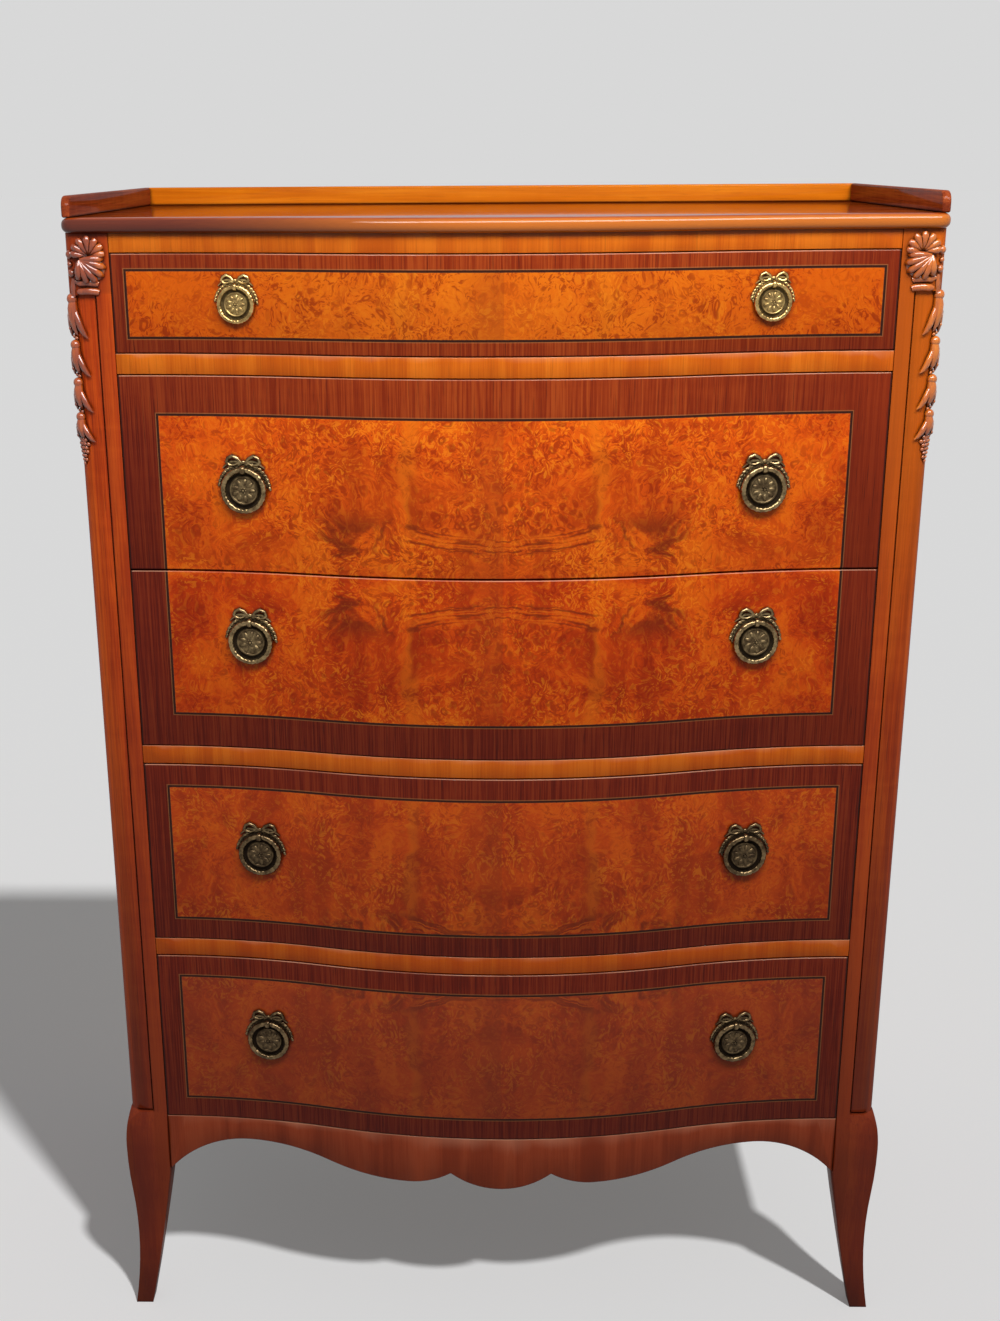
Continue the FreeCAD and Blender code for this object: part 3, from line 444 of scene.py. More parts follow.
# bands are the widths at the sides, below and above; match is the height about which the figure is matched
lowest = {"bands": (0.0265, 0.0265, 0.0265), "match": 0.5025, "leaf": 0.35, "gold": 0.05, "lift": 0.5, "glow": 0.0,
          "blush": 0.0}
drawers = {
    1: {"bands": (0.0145, 0.0155, 0.0165), "match": 1.0, "leaf": 0.7, "gain": 0.83, "gold": 0.46, "calm": 0.45,
        "lift": 0.85, "glow": 0.2, "blush": 0.9, "curl": 1.0, "haze": 0.0},
    2: {"bands": (0.0395, None, 0.0415), "match": 0.9648, "leaf": 0.0, "gain": 1.0, "gold": 0.12, "calm": 0.35,
        "lift": 0.6, "glow": 0.5, "blush": 0.25, "curl": 1.0, "haze": 0.0},
    3: {"bands": (0.0395, 0.0385, None), "match": 0.9648, "leaf": 0.0, "gain": 0.84, "gold": 0.0, "calm": 0.3,
        "lift": 0.55, "glow": 0.3, "blush": 0.25, "curl": 0.85, "haze": 0.0},
    4: {**lowest, "gain": 0.74, "calm": 0.38, "curl": 0.78, "haze": 0.08},
    5: {**lowest, "gain": 0.585, "calm": 0.4, "curl": 0.74, "haze": 0.26},
}
veneer = {
    "fieldSpots": (0.0, 0.32, 0.65, 1.0), "bandSpots": (0.05, 0.45, 0.95),
    "field": ((0.28, 0.016, 0.001), (0.5, 0.04, 0.0015), (0.67, 0.07, 0.002), (0.8, 0.14, 0.003)),
    "band": ((0.1, 0.008, 0.003), (0.145, 0.013, 0.004), (0.195, 0.024, 0.006)),
    "paleBand": ((0.19, 0.018, 0.003), (0.26, 0.031, 0.005), (0.34, 0.054, 0.008)),
    "honey": ((0.8, 0.2, 0.006), 1.0), "goldCurl": ((0.88, 0.25, 0.008), 0.58),
    "redCurl": ((0.26, 0.014, 0.001), 0.64), "haze": ((0.52, 0.105, 0.055), 1.0),
    "crest": ((0.8, 0.19, 0.008), 1.0), "crestAt": (0, 0.8, 0, 0.35),
    "smoke": ((0.17, 0.018, 0.003), 1.0), "smokeAt": (-0.8, 0, 0.7, 0),
    "seam": ((0.3, 0.045, 0.006), 0.3), "seamFrom": (-0.06, -0.004), "seamTo": (-0.0006, 0.0006, 1, 0),
    "blush": (0.88, 0.66, 0.5, 1), "blushFrom": (0.12, 0.36),
    "grain": {"Figure": 0.1, "Fibre": 0.75}, "paleHigh": (1.1, 1.15), "paleWide": (0.16, 0.4, 1.0, 0.3),
    "glow": ((0.26, 0.026, 0.004), 1.0), "glowFrom": (0.3, 0.41), "pore": ((0.03, 0.006, 0.004), 0.5),
    "box": ((0.42, 0.19, 0.06), 0.36), "ebony": ((0.02, 0.007, 0.005), 0.96), "dirt": ((0.03, 0.008, 0.005), 0.6),
    "end": ((0.02, 0.007, 0.005), 1.0), "endAt": (-0.0018, -0.0012, 0, 0.85),
    "reach": 0.008, "arris": 0.5, "bump": 0.04, "rough": 0.3, "off": 1.0,
}


def burlVeneer(number, facts):
    material, tree, shader, coords = startMaterial("burl veneer drawer " + str(number))
    axes = split(tree, coords)
    fromMiddle = away(tree, axes["X"])
    low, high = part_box(f"drawer_{number}_front")
    side, bottom, top = facts["bands"]
    layout = useGroup(tree, veneerLayout, {
        "Vector": coords, "Side": high[0] - side,
        "Bottom": low[2] + bottom if bottom else low[2] - veneer["off"],
        "Top": high[2] - top if top else high[2] + veneer["off"]})
    figure = useGroup(tree, burlFigure, {"Vector": coords, "Match Height": facts["match"], "Leaf": facts["leaf"]})
    level = calc(tree, "ADD", times(tree, figure["Tone"], 1 - facts["calm"]), facts["lift"] * facts["calm"])
    # the lowest drawers get a pale painted reflection of the floor
    field = lay(tree, ramp(tree, level, veneer["fieldSpots"], veneer["field"]), veneer, honey=facts["gold"],
                goldCurl=times(tree, figure["Gold"], facts["curl"]), redCurl=times(tree, figure["Red"], facts["curl"]),
                crest=mask(tree, veneer, crestAt=figure["Ridge"]), smoke=mask(tree, veneer, smokeAt=figure["Ridge"]),
                seam=mask(tree, veneer, seamFrom=axes["X"], seamTo=axes["X"]), haze=facts["haze"])
    # darker on the lower drawers: partly the veneers' own tone, partly painted shade where less light falls
    field = tint(tree, 1.0, field, (facts["gain"],) * 3 + (1,), "MULTIPLY")
    # redder towards the ends
    blush = span(tree, fromMiddle, *veneer["blushFrom"], 0, facts["blush"])
    field = tint(tree, blush, field, veneer["blush"], "MULTIPLY")
    # crossband with a painted sheen, paler at the top and towards the middle
    grain = useGroup(tree, woodGrain, {"Vector": coords, **veneer["grain"]})
    dark, pale = (ramp(tree, grain["Tone"], veneer["bandSpots"], veneer[name]) for name in ("band", "paleBand"))
    band = tint(tree, mask(tree, veneer, paleHigh=axes["Z"], paleWide=fromMiddle), dark, pale)
    # painted light: the crossband lighter towards the right end
    glow = span(tree, axes["X"], *veneer["glowFrom"], 0, facts["glow"])
    band = lay(tree, band, veneer, glow=glow, pore=grain["Pore"])
    # dirt and painted shade: ambient occlusion darkens the veneer next to rails and other parts
    hollow = useGroup(tree, hollowDirt, {"Vector": coords, "Reach": veneer["reach"]})["Hollow"]
    colour = lay(tree, tint(tree, layout["Band"], field, band), veneer, box=layout["Box"], ebony=layout["Ebony"],
                 dirt=hollow)
    # painted highlight along the upper edges
    colour = wearArris(tree, coords, colour, veneer["arris"])
    colour = lay(tree, colour, veneer, end=mask(tree, veneer, endAt=less(tree, fromMiddle, high[0])))
    feed(tree, shader.inputs, {**varnish, "Base Color": colour, "Roughness": veneer["rough"]})
    addBump(tree, shader, grain["Tone"], veneer["bump"])
    return material


burlVeneers = {number: burlVeneer(number, facts) for number, facts in drawers.items()}

patinas = {"reach": 0.0055, "dirt": ((0.014, 0.007, 0.004), 1.0), "rough": (0, 1, 0.24, 0.6),
           "metal": (0, 1, 1.0, 0.1), "specular": 0.1, "bump": 0.1, "bumpReach": 0.0002}


def antiqueBrass(name, dull, bright, dirtShare):
    material, tree, shader, coords = startMaterial(name)
    # patina in the hollows, with painted shade from ambient occlusion and on the dish between boss and ring
    wear = useGroup(tree, hollowDirt, {"Vector": coords, "Reach": patinas["reach"]})
    old = put(tree, "Attribute", attribute_name="patina")["Fac"]
    colour = tint(tree, wear["Blotch"], (*dull, 1), (*bright, 1))
    dirt = times(tree, calc(tree, "MAXIMUM", wear["Hollow"], old), dirtShare)
    feed(tree, shader.inputs, {
        "Base Color": lay(tree, colour, patinas, dirt=dirt), "Roughness": mask(tree, patinas, rough=dirt),
        "Metallic": mask(tree, patinas, metal=dirt), "Specular IOR Level": patinas["specular"]})
    addBump(tree, shader, wear["Blotch"], patinas["bump"], patinas["bumpReach"])
    return material


steels = {"reach": 0.002, "dull": (0.15, 0.14, 0.125, 1), "bright": (0.36, 0.34, 0.3, 1),
          "dirt": ((0.08, 0.06, 0.05), 1.0), "rough": 0.38}


def screwSteel():
    material, tree, shader, coords = startMaterial("screw steel")
    # dirt and painted shade from ambient occlusion in the slot and round the head
    wear = useGroup(tree, hollowDirt, {"Vector": coords, "Reach": steels["reach"]})
    colour = lay(tree, tint(tree, wear["Blotch"], steels["dull"], steels["bright"]), steels, dirt=wear["Hollow"])
    feed(tree, shader.inputs, {"Base Color": colour, "Metallic": 1.0, "Roughness": steels["rough"]})
    return material


# lit and shaded copies of the brass: painted light on the top drawer's pulls, painted shade on the lowest two
cleanBrass = antiqueBrass("antique brass, cleaner", (0.31, 0.195, 0.072), (0.72, 0.5, 0.19), 0.72)
brass = antiqueBrass("antique brass", (0.12, 0.078, 0.038), (0.38, 0.27, 0.13), 0.9)
darkBrass = antiqueBrass("antique brass, dark", (0.06, 0.038, 0.02), (0.22, 0.15, 0.075), 0.95)
metals = {1: cleanBrass, 2: brass, 3: brass, 4: darkBrass, 5: darkBrass}
steel = screwSteel()
print("finishes made:", len(bpy.data.materials))

# mesh helpers
making = {"weld": 0.00001, "flat": 0.6, "sharp": 40, "easeAngle": 35, "easeSteps": 2}


def keepMesh(name, bm):
    mesh = bpy.data.meshes.new(name)
    bm.to_mesh(mesh)
    bm.free()
    return mesh


def weld(bm):
    bmesh.ops.remove_doubles(bm, verts=bm.verts, dist=making["weld"])


def addPiece(name, bm, body, material, replaced, sharp=making["sharp"]):
    weld(bm)
    bmesh.ops.recalc_face_normals(bm, faces=bm.faces)
    mesh = keepMesh(name, bm)
    mesh.materials.append(material)
    mesh.shade_smooth()
    mesh.set_sharp_from_angle(angle=math.radians(sharp))
    piece = bpy.data.objects.new(name, mesh)
    scene.collection.objects.link(piece)
    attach(piece, body)
    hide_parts(replaced)
    return piece


def easedNode(node, material, width, segments=making["easeSteps"], rounded=None):
    # a copy of the CAD solid with its edges eased, and one upright corner rounded where asked
    bm = bmesh.new()
    bm.from_mesh(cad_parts[node].data)
    weld(bm)
    bmesh.ops.dissolve_limit(bm, angle_limit=math.radians(making["flat"]), verts=bm.verts, edges=bm.edges)
    if rounded:
        corner = [edge for edge in bm.edges if all(
            vert.co.z > rounded["from"] and abs(vert.co.x) > rounded["out"] and vert.co.y < rounded["front"]
            for vert in edge.verts)]
        bmesh.ops.bevel(bm, geom=corner, offset=rounded["corner"], affect="EDGES", segments=rounded["steps"],
                        profile=0.5, material=-1)
    piece = addPiece(node + ".eased", bm, "case", material, node)
    ease = piece.modifiers.new("eased edges", "BEVEL")
    ease.width = width
    ease.segments = segments
    ease.limit_method = "ANGLE"
    ease.angle_limit = math.radians(making["easeAngle"])
    ease.harden_normals = True
    piece.data.set_sharp_from_angle(angle=math.pi)


def dressNode(node, material):
    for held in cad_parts[node].material_slots:
        held.material = material


def only(kind, items):
    return [item for item in items if isinstance(item, kind)]


def traceLine(bm, vert, target):
    made = bmesh.ops.extrude_vert_indiv(bm, verts=[vert])["verts"][0]
    made.co = Vector(target)
    return made


def traceArc(bm, vert, centre, angle, steps):
    spun = bmesh.ops.spin(bm, geom=[vert], cent=centre, axis=(0, 0, 1), angle=angle, steps=steps)
    return only(bmesh.types.BMVert, spun["geom_last"])[0]


def bowSpins(z, endX):
    # the three turns that follow the front line from left to right
    lead = math.asin((bow["half"] - endX) / bow["radius"])
    endTurn = bow["turn"] - lead
    low = bow["frontY"] - bow["radius"]
    high = bow["frontY"] - bow["depth"] + bow["radius"]
    return lead, [((-bow["half"], low, z), -endTurn, bow["endSteps"]),
                  ((0, high, z), 2 * bow["turn"], bow["crownSteps"]),
                  ((bow["half"], low, z), -endTurn, bow["endSteps"])]


def sweepBow(bm, profile, endX):
    # profile points are (out from the face, height), closed
    lead, spins = bowSpins(0, endX)
    verts = []
    for out, height in profile:
        reach = bow["radius"] - out
        verts.append(bm.verts.new((-bow["half"] + reach * math.sin(lead),
                                   bow["frontY"] - bow["radius"] + reach * math.cos(lead), height)))
    edges = [bm.edges.new((verts[i - 1], verts[i])) for i in range(len(verts))]
    bm.faces.new(verts)
    geom = verts + edges
    for centre, angle, steps in spins:
        spun = bmesh.ops.spin(bm, geom=geom, cent=centre, axis=(0, 0, 1), angle=angle, steps=steps)
        geom = only((bmesh.types.BMVert, bmesh.types.BMEdge), spun["geom_last"])
    bmesh.ops.contextual_create(bm, geom=only(bmesh.types.BMEdge, geom))


def roundedFront(low, high, face, back, radius, steps):
    # board section with its two front edges rounded
    points = [(back, low), (back, high)]
    for corner, start in (((face - radius, high - radius), 90), ((face - radius, low + radius), 0)):
        for step in range(steps + 1):
            turn = math.radians(start - 90 * step / steps)
            points.append((corner[0] + radius * math.cos(turn), corner[1] + radius * math.sin(turn)))
    return points


# drawer fronts
fronts = {"veneerBack": -0.01, "back": -0.022, "round": 0.0012, "steps": 3, "innerEnd": 0.3983, "recess": 0.0006}
for number in drawers:
    low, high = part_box(f"drawer_{number}_front")
    bm = bmesh.new()
    sweepBow(bm, roundedFront(low[2], high[2], 0.0, fronts["veneerBack"], fronts["round"], fronts["steps"]), high[0])
    veneered = set(bm.faces)
    core = (low[2] + fronts["recess"], high[2] - fronts["recess"])
    sweepBow(bm, [(fronts["back"], core[0]), (fronts["back"], core[1]),
                  (fronts["veneerBack"], core[1]), (fronts["veneerBack"], core[0])], fronts["innerEnd"])
    for face in bm.faces:
        face.material_index = 0 if face in veneered else 1
    front = addPiece(f"drawer_{number}_veneered_front", bm, f"drawer_{number}",
                     burlVeneers[number], f"drawer_{number}_front")
    front.data.materials.append(boxWoodAcross)
print("drawer fronts swept")

# top board and gallery
topBoard = {"half": 0.459, "backY": 0.243, "overhang": 0.009, "corner": 0.014, "cornerSteps": 8,
            "round": 0.0069, "roundSteps": 6, "slack": 0.001, "join": 0.00002, "sharp": 50}
gallery = {"ease": 0.0022, "steps": 3}
low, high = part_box("top_board")
bm = bmesh.new()
frontY = bow["frontY"] - topBoard["overhang"]
cornerY = frontY + topBoard["corner"]
straight = topBoard["half"] - topBoard["corner"]
first = bm.verts.new((-straight, frontY, low[2]))
tip = traceLine(bm, first, (-bow["half"], frontY, low[2]))
for centre, angle, steps in bowSpins(low[2], bow["half"])[1]:
    tip = traceArc(bm, tip, centre, angle, steps)
tip = traceLine(bm, tip, (straight, frontY, low[2]))
tip = traceArc(bm, tip, (straight, cornerY, low[2]), quarter, topBoard["cornerSteps"])
tip = traceLine(bm, tip, (topBoard["half"], topBoard["backY"], low[2]))
tip = traceLine(bm, tip, (-topBoard["half"], topBoard["backY"], low[2]))
tip = traceLine(bm, tip, (-topBoard["half"], cornerY, low[2]))
traceArc(bm, tip, (-straight, cornerY, low[2]), quarter, topBoard["cornerSteps"])
bmesh.ops.remove_doubles(bm, verts=bm.verts, dist=topBoard["join"])
bmesh.ops.contextual_create(bm, geom=bm.edges[:])
grown = bmesh.ops.extrude_face_region(bm, geom=bm.faces[:])["geom"]
bmesh.ops.translate(bm, verts=only(bmesh.types.BMVert, grown), vec=(0, 0, high[2] - low[2]))
rims = [edge for edge in bm.edges if abs(edge.verts[0].co.z - edge.verts[1].co.z) < topBoard["slack"]
        and min(vert.co.y for vert in edge.verts) < topBoard["backY"] - topBoard["slack"]]
bmesh.ops.bevel(bm, geom=rims, offset=topBoard["round"], affect="EDGES", segments=topBoard["roundSteps"],
                profile=0.5, material=-1, clamp_overlap=True)
addPiece("top_board_moulded", bm, "case", topWood, "top_board", topBoard["sharp"])
easedNode("gallery_back", galleryBackWood, gallery["ease"], gallery["steps"])
for node in ("gallery_left", "gallery_right"):
    easedNode(node, galleryWood, gallery["ease"], gallery["steps"])

# rails, apron, panels and posts
eased = {"rail": 0.0009, "apron": 0.0015, "post": 0.0012}
capital = {"from": 1.25, "out": 0.4565, "front": -0.186, "corner": 0.013, "steps": 6}
for node in ("top_rail", "upper_rail", "middle_rail", "lower_rail", "divider_rail", "bottom_rail"):
    easedNode(node, railWood, eased["rail"])
easedNode("apron", apronWood, eased["apron"])
for node in ("side_panel_left", "side_panel_right", "rear_post_left", "rear_post_right"):
    easedNode(node, postWood, eased["post"])
for node in ("front_post_left", "front_post_right"):
    easedNode(node, frontPostWood, eased["post"], rounded=capital)
for number in drawers:
    dressNode(f"drawer_{number}_sides", sideWood)
    dressNode(f"drawer_{number}_back", boxWoodAcross)
    dressNode(f"drawer_{number}_bottom", panelWood)
for node, wood in (("drawer_runners", boxWood), ("drawer_stops", boxWood), ("dust_panels", panelWood),
                   ("back_panel", panelWood), ("rear_rails", boxWoodAcross)):
    dressNode(node, wood)
print("case dressed")


# turned and cast shapes: x to the right, z up, the face at y = 0 and outward -y
def newVerts(bm, before):
    return [vert for vert in bm.verts if vert not in before]


def turnProfile(bm, profile, steps, matrix=Matrix()):
    # profile points are (radius, out), turned about y
    before = set(bm.verts)
    verts = [bm.verts.new((radius, -out, 0)) for radius, out in profile]
    edges = [bm.edges.new(pair) for pair in zip(verts, verts[1:])]
    bmesh.ops.spin(bm, geom=verts + edges, cent=(0, 0, 0), axis=(0, 1, 0), angle=2 * math.pi,
                   steps=steps, use_merge=True)
    bmesh.ops.transform(bm, matrix=matrix, verts=newVerts(bm, before))


def addBead(bm, at, size, turn=Matrix(), around=8, along=6):
    bmesh.ops.create_uvsphere(bm, u_segments=around, v_segments=along, radius=1.0,
                              matrix=turn @ Matrix.Translation(at) @ Matrix.Diagonal((*size, 1)))


def growStem(bm, points, radii, segments=8):
    # a tapering stem through the points, capped at both ends
    points = [Vector(point) for point in points]
    rings = []
    for index, (point, radius) in enumerate(zip(points, radii)):
        ahead = points[min(index + 1, len(points) - 1)] - points[max(index - 1, 0)]
        turn = ahead.to_track_quat("Z", "Y").to_matrix().to_4x4()
        ring = bmesh.ops.create_circle(bm, cap_ends=index in (0, len(points) - 1), segments=segments, radius=radius,
                                       matrix=Matrix.Translation(point) @ turn)
        rings.append(list({edge for vert in ring["verts"] for edge in vert.link_edges}))
    for first, second in zip(rings, rings[1:]):
        bmesh.ops.bridge_loops(bm, edges=first + second)


# slotted screws of the back panel, outward +y
screw = {"profile": [(0.0, -0.002), (0.0016, -0.0019), (0.003, -0.0015), (0.0038, -0.0008), (0.004, 0.0),
                     (0.0018, 0.0), (0.0018, 0.0188), (0.0006, 0.02), (0.0, 0.02)],
         "steps": 16, "slot": 0.0005, "wall": 0.00006, "floor": 0.0009, "backY": 0.237, "turn": 37,
         "xs": (-0.38, 0.0, 0.38), "zs": (0.2597, 0.5025, 0.7467, 0.9648, 1.19, 1.3149)}
bm = bmesh.new()
turnProfile(bm, screw["profile"], screw["steps"])
weld(bm)
for edge in (screw["slot"], screw["slot"] + screw["wall"]):
    for way in (-1, 1):
        bmesh.ops.bisect_plane(bm, geom=bm.verts[:] + bm.edges[:] + bm.faces[:], plane_co=(way * edge, 0, 0),
                               plane_no=(way, 0, 0), dist=making["weld"])
for vert in bm.verts:
    if abs(vert.co.x) < screw["slot"] + screw["wall"] / 2:
        vert.co.y = min(vert.co.y, screw["floor"])
screwCast = keepMesh("screw cast", bm)
screws = bmesh.new()
for row, z in enumerate(screw["zs"]):
    for column, x in enumerate(screw["xs"]):
        before = set(screws.verts)
        screws.from_mesh(screwCast)
        turn = Matrix.Rotation(math.radians(screw["turn"] * (len(screw["xs"]) * row + column)), 4, "Y")
        bmesh.ops.transform(screws, matrix=Matrix.Translation((x, screw["backY"], z)) @ turn,
                            verts=newVerts(screws, before))
addPiece("back_screws.slotted", screws, "case", steel, "back_screws")
print("screws set")

# drawer pulls, cast once in millimetres; a row of the rosette is count, place, size and parts of a bead
pull = {
    "plate": [(0, 0.4), (23.6, 0.4), (24.1, 1.1), (23.6, 2.1), (22.2, 2.5), (20.6, 1.9), (18.6, 1.2), (16.9, 1.3),
              (16.4, 3), (16.1, 5), (15.2, 6.1), (14.1, 6), (13.3, 5.1), (11.4, 5.1), (8.8, 6.2), (4.8, 7.2), (0, 7.6)],
    "rosette": ((9, (8.8, -6.2, 0), (4.3, 1.6, 2.3), 8, 6), (6, (2.9, -7.8, 0), (1.1, 1.1, 1.1), 7, 5),
                (1, (0, -8.2, 0), (1.6, 1.6, 1.6), 8, 6)), "plateSteps": 48,
    "ringRadius": 22.5, "ringTube": 3, "ringOut": 6.1, "ringSteps": 132, "tubeSteps": 12, "ringJoin": 0.005,
    "leaves": 15, "leafDepth": 0.26, "leafLap": 0.9, "leafCurve": 1.6, "fullness": 1.12,
    "ribbons": (40, 140, 220, 320), "ribbonHalf": 5, "bareHalf": 9, "bareSize": 0.94,
    "garlandRadius": 26.8, "garlandLeaves": 9, "garlandFrom": 82, "garlandTurn": 78, "garlandGrow": (0.72, 0.4),
    "leafSize": (3.6, 1.3, 2.3), "leafApart": (1.7, 0.4, 1.5), "leafOut": 2.4, "leafLean": 24,
    "loop": [(2.5, 30), (6.3, 34.6), (11.8, 37.2), (16.6, 34.8), (18.6, 30.6), (15.4, 27.4), (10.6, 26.8), (5, 29)],
    "loopRadii": (1.4, 2, 2.2, 2.2, 2.1, 2, 1.8, 1.4), "loopOut": 3.1,
    "tail": [(2, 29.6, 2.8), (8, 31.2, 3.6), (14, 30.6, 2.4), (19.8, 26.6, 2.2), (23.4, 23.4, 1.6)],
    "tailRadii": (1.2, 1.5, 1.5, 1.3, 0.7), "tailSides": 6, "knotAt": (0, -3.4, 30.2), "knotSize": (3, 2, 2.6),
    "eye": [(3.4, -2.4), (4.4, -2.4), (5.1, -1.7), (5.1, 1.7), (4.4, 2.4), (3.4, 2.4), (3.4, -2.4)], "eyeSteps": 24,
    "eyeFoot": [(0, -0.6, 25), (0, -2.4, 24.5)], "eyeFootRadii": (3, 2.5),
    "stud": [(0, 0.4), (2.5, 0.4), (2.5, -29.4), (1.9, -30), (0, -30)], "studSteps": 16, "studFrom": 2,
    "nut": [(0, -24), (5, -24), (5, -27.5), (4.3, -28), (0, -28)], "nutSides": 6,
    "dish": {"out": -2, "radius": 21.5}, "boss": {"radius": 17, "patina": 0.4},
    "at": (0.278, -0.196769), "turn": 8.4017, "scale": 0.001, "small": 0.0008,
    "heights": {1: 1.2529, 2: 1.05645, 3: 0.8857, 4: 0.6291, 5: 0.3856}, "plateSharp": 45, "ringSharp": 60,
}


def modelPlate():
    bm = bmesh.new()
    turnProfile(bm, pull["plate"], pull["plateSteps"])
    for count, at, size, around, along in pull["rosette"]:
        for index in range(count):
            addBead(bm, at, size, Matrix.Rotation(2 * math.pi * index / count, 4, "Y"), around, along)
    # garland of leaves round the upper half, smaller toward its ends
    least, growth = pull["garlandGrow"]
    apart = pull["leafApart"]
    for side in (-1, 1):
        for index in range(pull["garlandLeaves"]):
            share = index / (pull["garlandLeaves"] - 1)
            turn = Matrix.Rotation(side * math.radians(pull["garlandFrom"] - pull["garlandTurn"] * share), 4, "Y")
            size = [value * (least + growth * share) for value in pull["leafSize"]]
            for row in (-1, 1):
                at = (row * apart[0], -pull["leafOut"] - apart[1] * row, pull["garlandRadius"] + row * apart[2])
                lean = Matrix.Rotation(math.radians(-side * row * pull["leafLean"]), 4, "Y")
                addBead(bm, (0, 0, 0), size, turn @ Matrix.Translation(at) @ lean, 8, 5)
        # ribbon bow, one open loop and one tail on each side
        growStem(bm, [(side * x, -pull["loopOut"], z) for x, z in pull["loop"]], pull["loopRadii"])
        growStem(bm, [(side * x, -out, z) for x, z, out in pull["tail"]], pull["tailRadii"], pull["tailSides"])
    addBead(bm, pull["knotAt"], pull["knotSize"])
    # eye that carries the ring, its foot on the plate, the stud through the front and its nut
    carry = Matrix.Translation((0, -pull["ringOut"], pull["ringRadius"])) @ Matrix.Rotation(quarter, 4, "Z")
    turnProfile(bm, pull["eye"], pull["eyeSteps"], carry)
    growStem(bm, pull["eyeFoot"], pull["eyeFootRadii"])
    turnProfile(bm, pull["stud"], pull["studSteps"])
    turnProfile(bm, pull["nut"], pull["nutSides"])
    # the dish between boss and ring is painted dark as patina and painted shade; the boss gets part of it
    patina = bm.verts.layers.float.new("patina")
    for vert in bm.verts:
        reach = math.hypot(vert.co.x, vert.co.z)
        if vert.co.y > pull["dish"]["out"] and reach < pull["dish"]["radius"]:
            vert[patina] = 1.0
        elif reach < pull["boss"]["radius"]:
            vert[patina] = pull["boss"]["patina"]
    return bm


def modelRing():
    # a laurel ring: overlapping leaves run up both sides from the bottom, bound at four places
    bm = bmesh.new()
    section = bmesh.ops.create_circle(bm, segments=pull["tubeSteps"], radius=pull["ringTube"],
                                      matrix=Matrix.Translation((pull["ringRadius"], 0, 0)))["verts"]
    edges = list({edge for vert in section for edge in vert.link_edges})
    bmesh.ops.spin(bm, geom=section + edges, cent=(0, 0, 0), axis=(0, 1, 0), angle=2 * math.pi,
                   steps=pull["ringSteps"], use_merge=True)
    bmesh.ops.remove_doubles(bm, verts=bm.verts, dist=pull["ringJoin"])
    for vert in bm.verts:
        centre = Vector((vert.co.x, 0, vert.co.z)).normalized() * pull["ringRadius"]
        around = math.degrees(math.atan2(centre.x, centre.z))  # 0 at the top
        fromBottom = 180 - abs(around)
        arm = vert.co - centre
        spread = abs(math.atan2(arm.dot(centre.normalized()), -arm.y)) / math.pi
        scale = (fromBottom * pull["leaves"] / 180 - pull["leafLap"] * spread) % 1.0
        swell = pull["fullness"] - pull["leafDepth"] * scale ** pull["leafCurve"]
        if any(abs((around % 360) - band) < pull["ribbonHalf"] for band in pull["ribbons"]):
            swell = pull["fullness"]
        if abs(around) < pull["bareHalf"]:
            swell = pull["bareSize"]
        vert.co = centre + arm * swell
    bmesh.ops.translate(bm, verts=bm.verts, vec=(0, -pull["ringOut"], 0))
    return bm


def setPull(bm, cast, number, side):
    before = set(bm.verts)
    bm.from_mesh(cast)
    verts = newVerts(bm, before)
    size = pull["small" if number == 1 else "scale"]
    for vert in verts:
        if vert.co.y > pull["studFrom"]:
            vert.co.y *= pull["scale"] / size  # the stud keeps its length through the front
    seat = (Matrix.Translation((side * pull["at"][0], pull["at"][1], pull["heights"][number]))
            @ Matrix.Rotation(side * math.radians(pull["turn"]), 4, "Z") @ Matrix.Diagonal((size, size, size, 1)))
    bmesh.ops.transform(bm, matrix=seat, verts=verts)


plateCast = keepMesh("plate cast", modelPlate())
ringCast = keepMesh("ring cast", modelRing())
for number in drawers:
    plates = bmesh.new()
    metal = metals[number]
    for side, hand in ((-1, "left"), (1, "right")):
        setPull(plates, plateCast, number, side)
        ring = bmesh.new()
        setPull(ring, ringCast, number, side)
        node = f"pull_ring_{number}_{hand}"
        addPiece(node + ".laurel", ring, node, metal, node, pull["ringSharp"])
    addPiece(f"pull_plates_{number}.cast", plates, f"drawer_{number}", metal,
             f"pull_plates_{number}", pull["plateSharp"])
print("pulls cast")

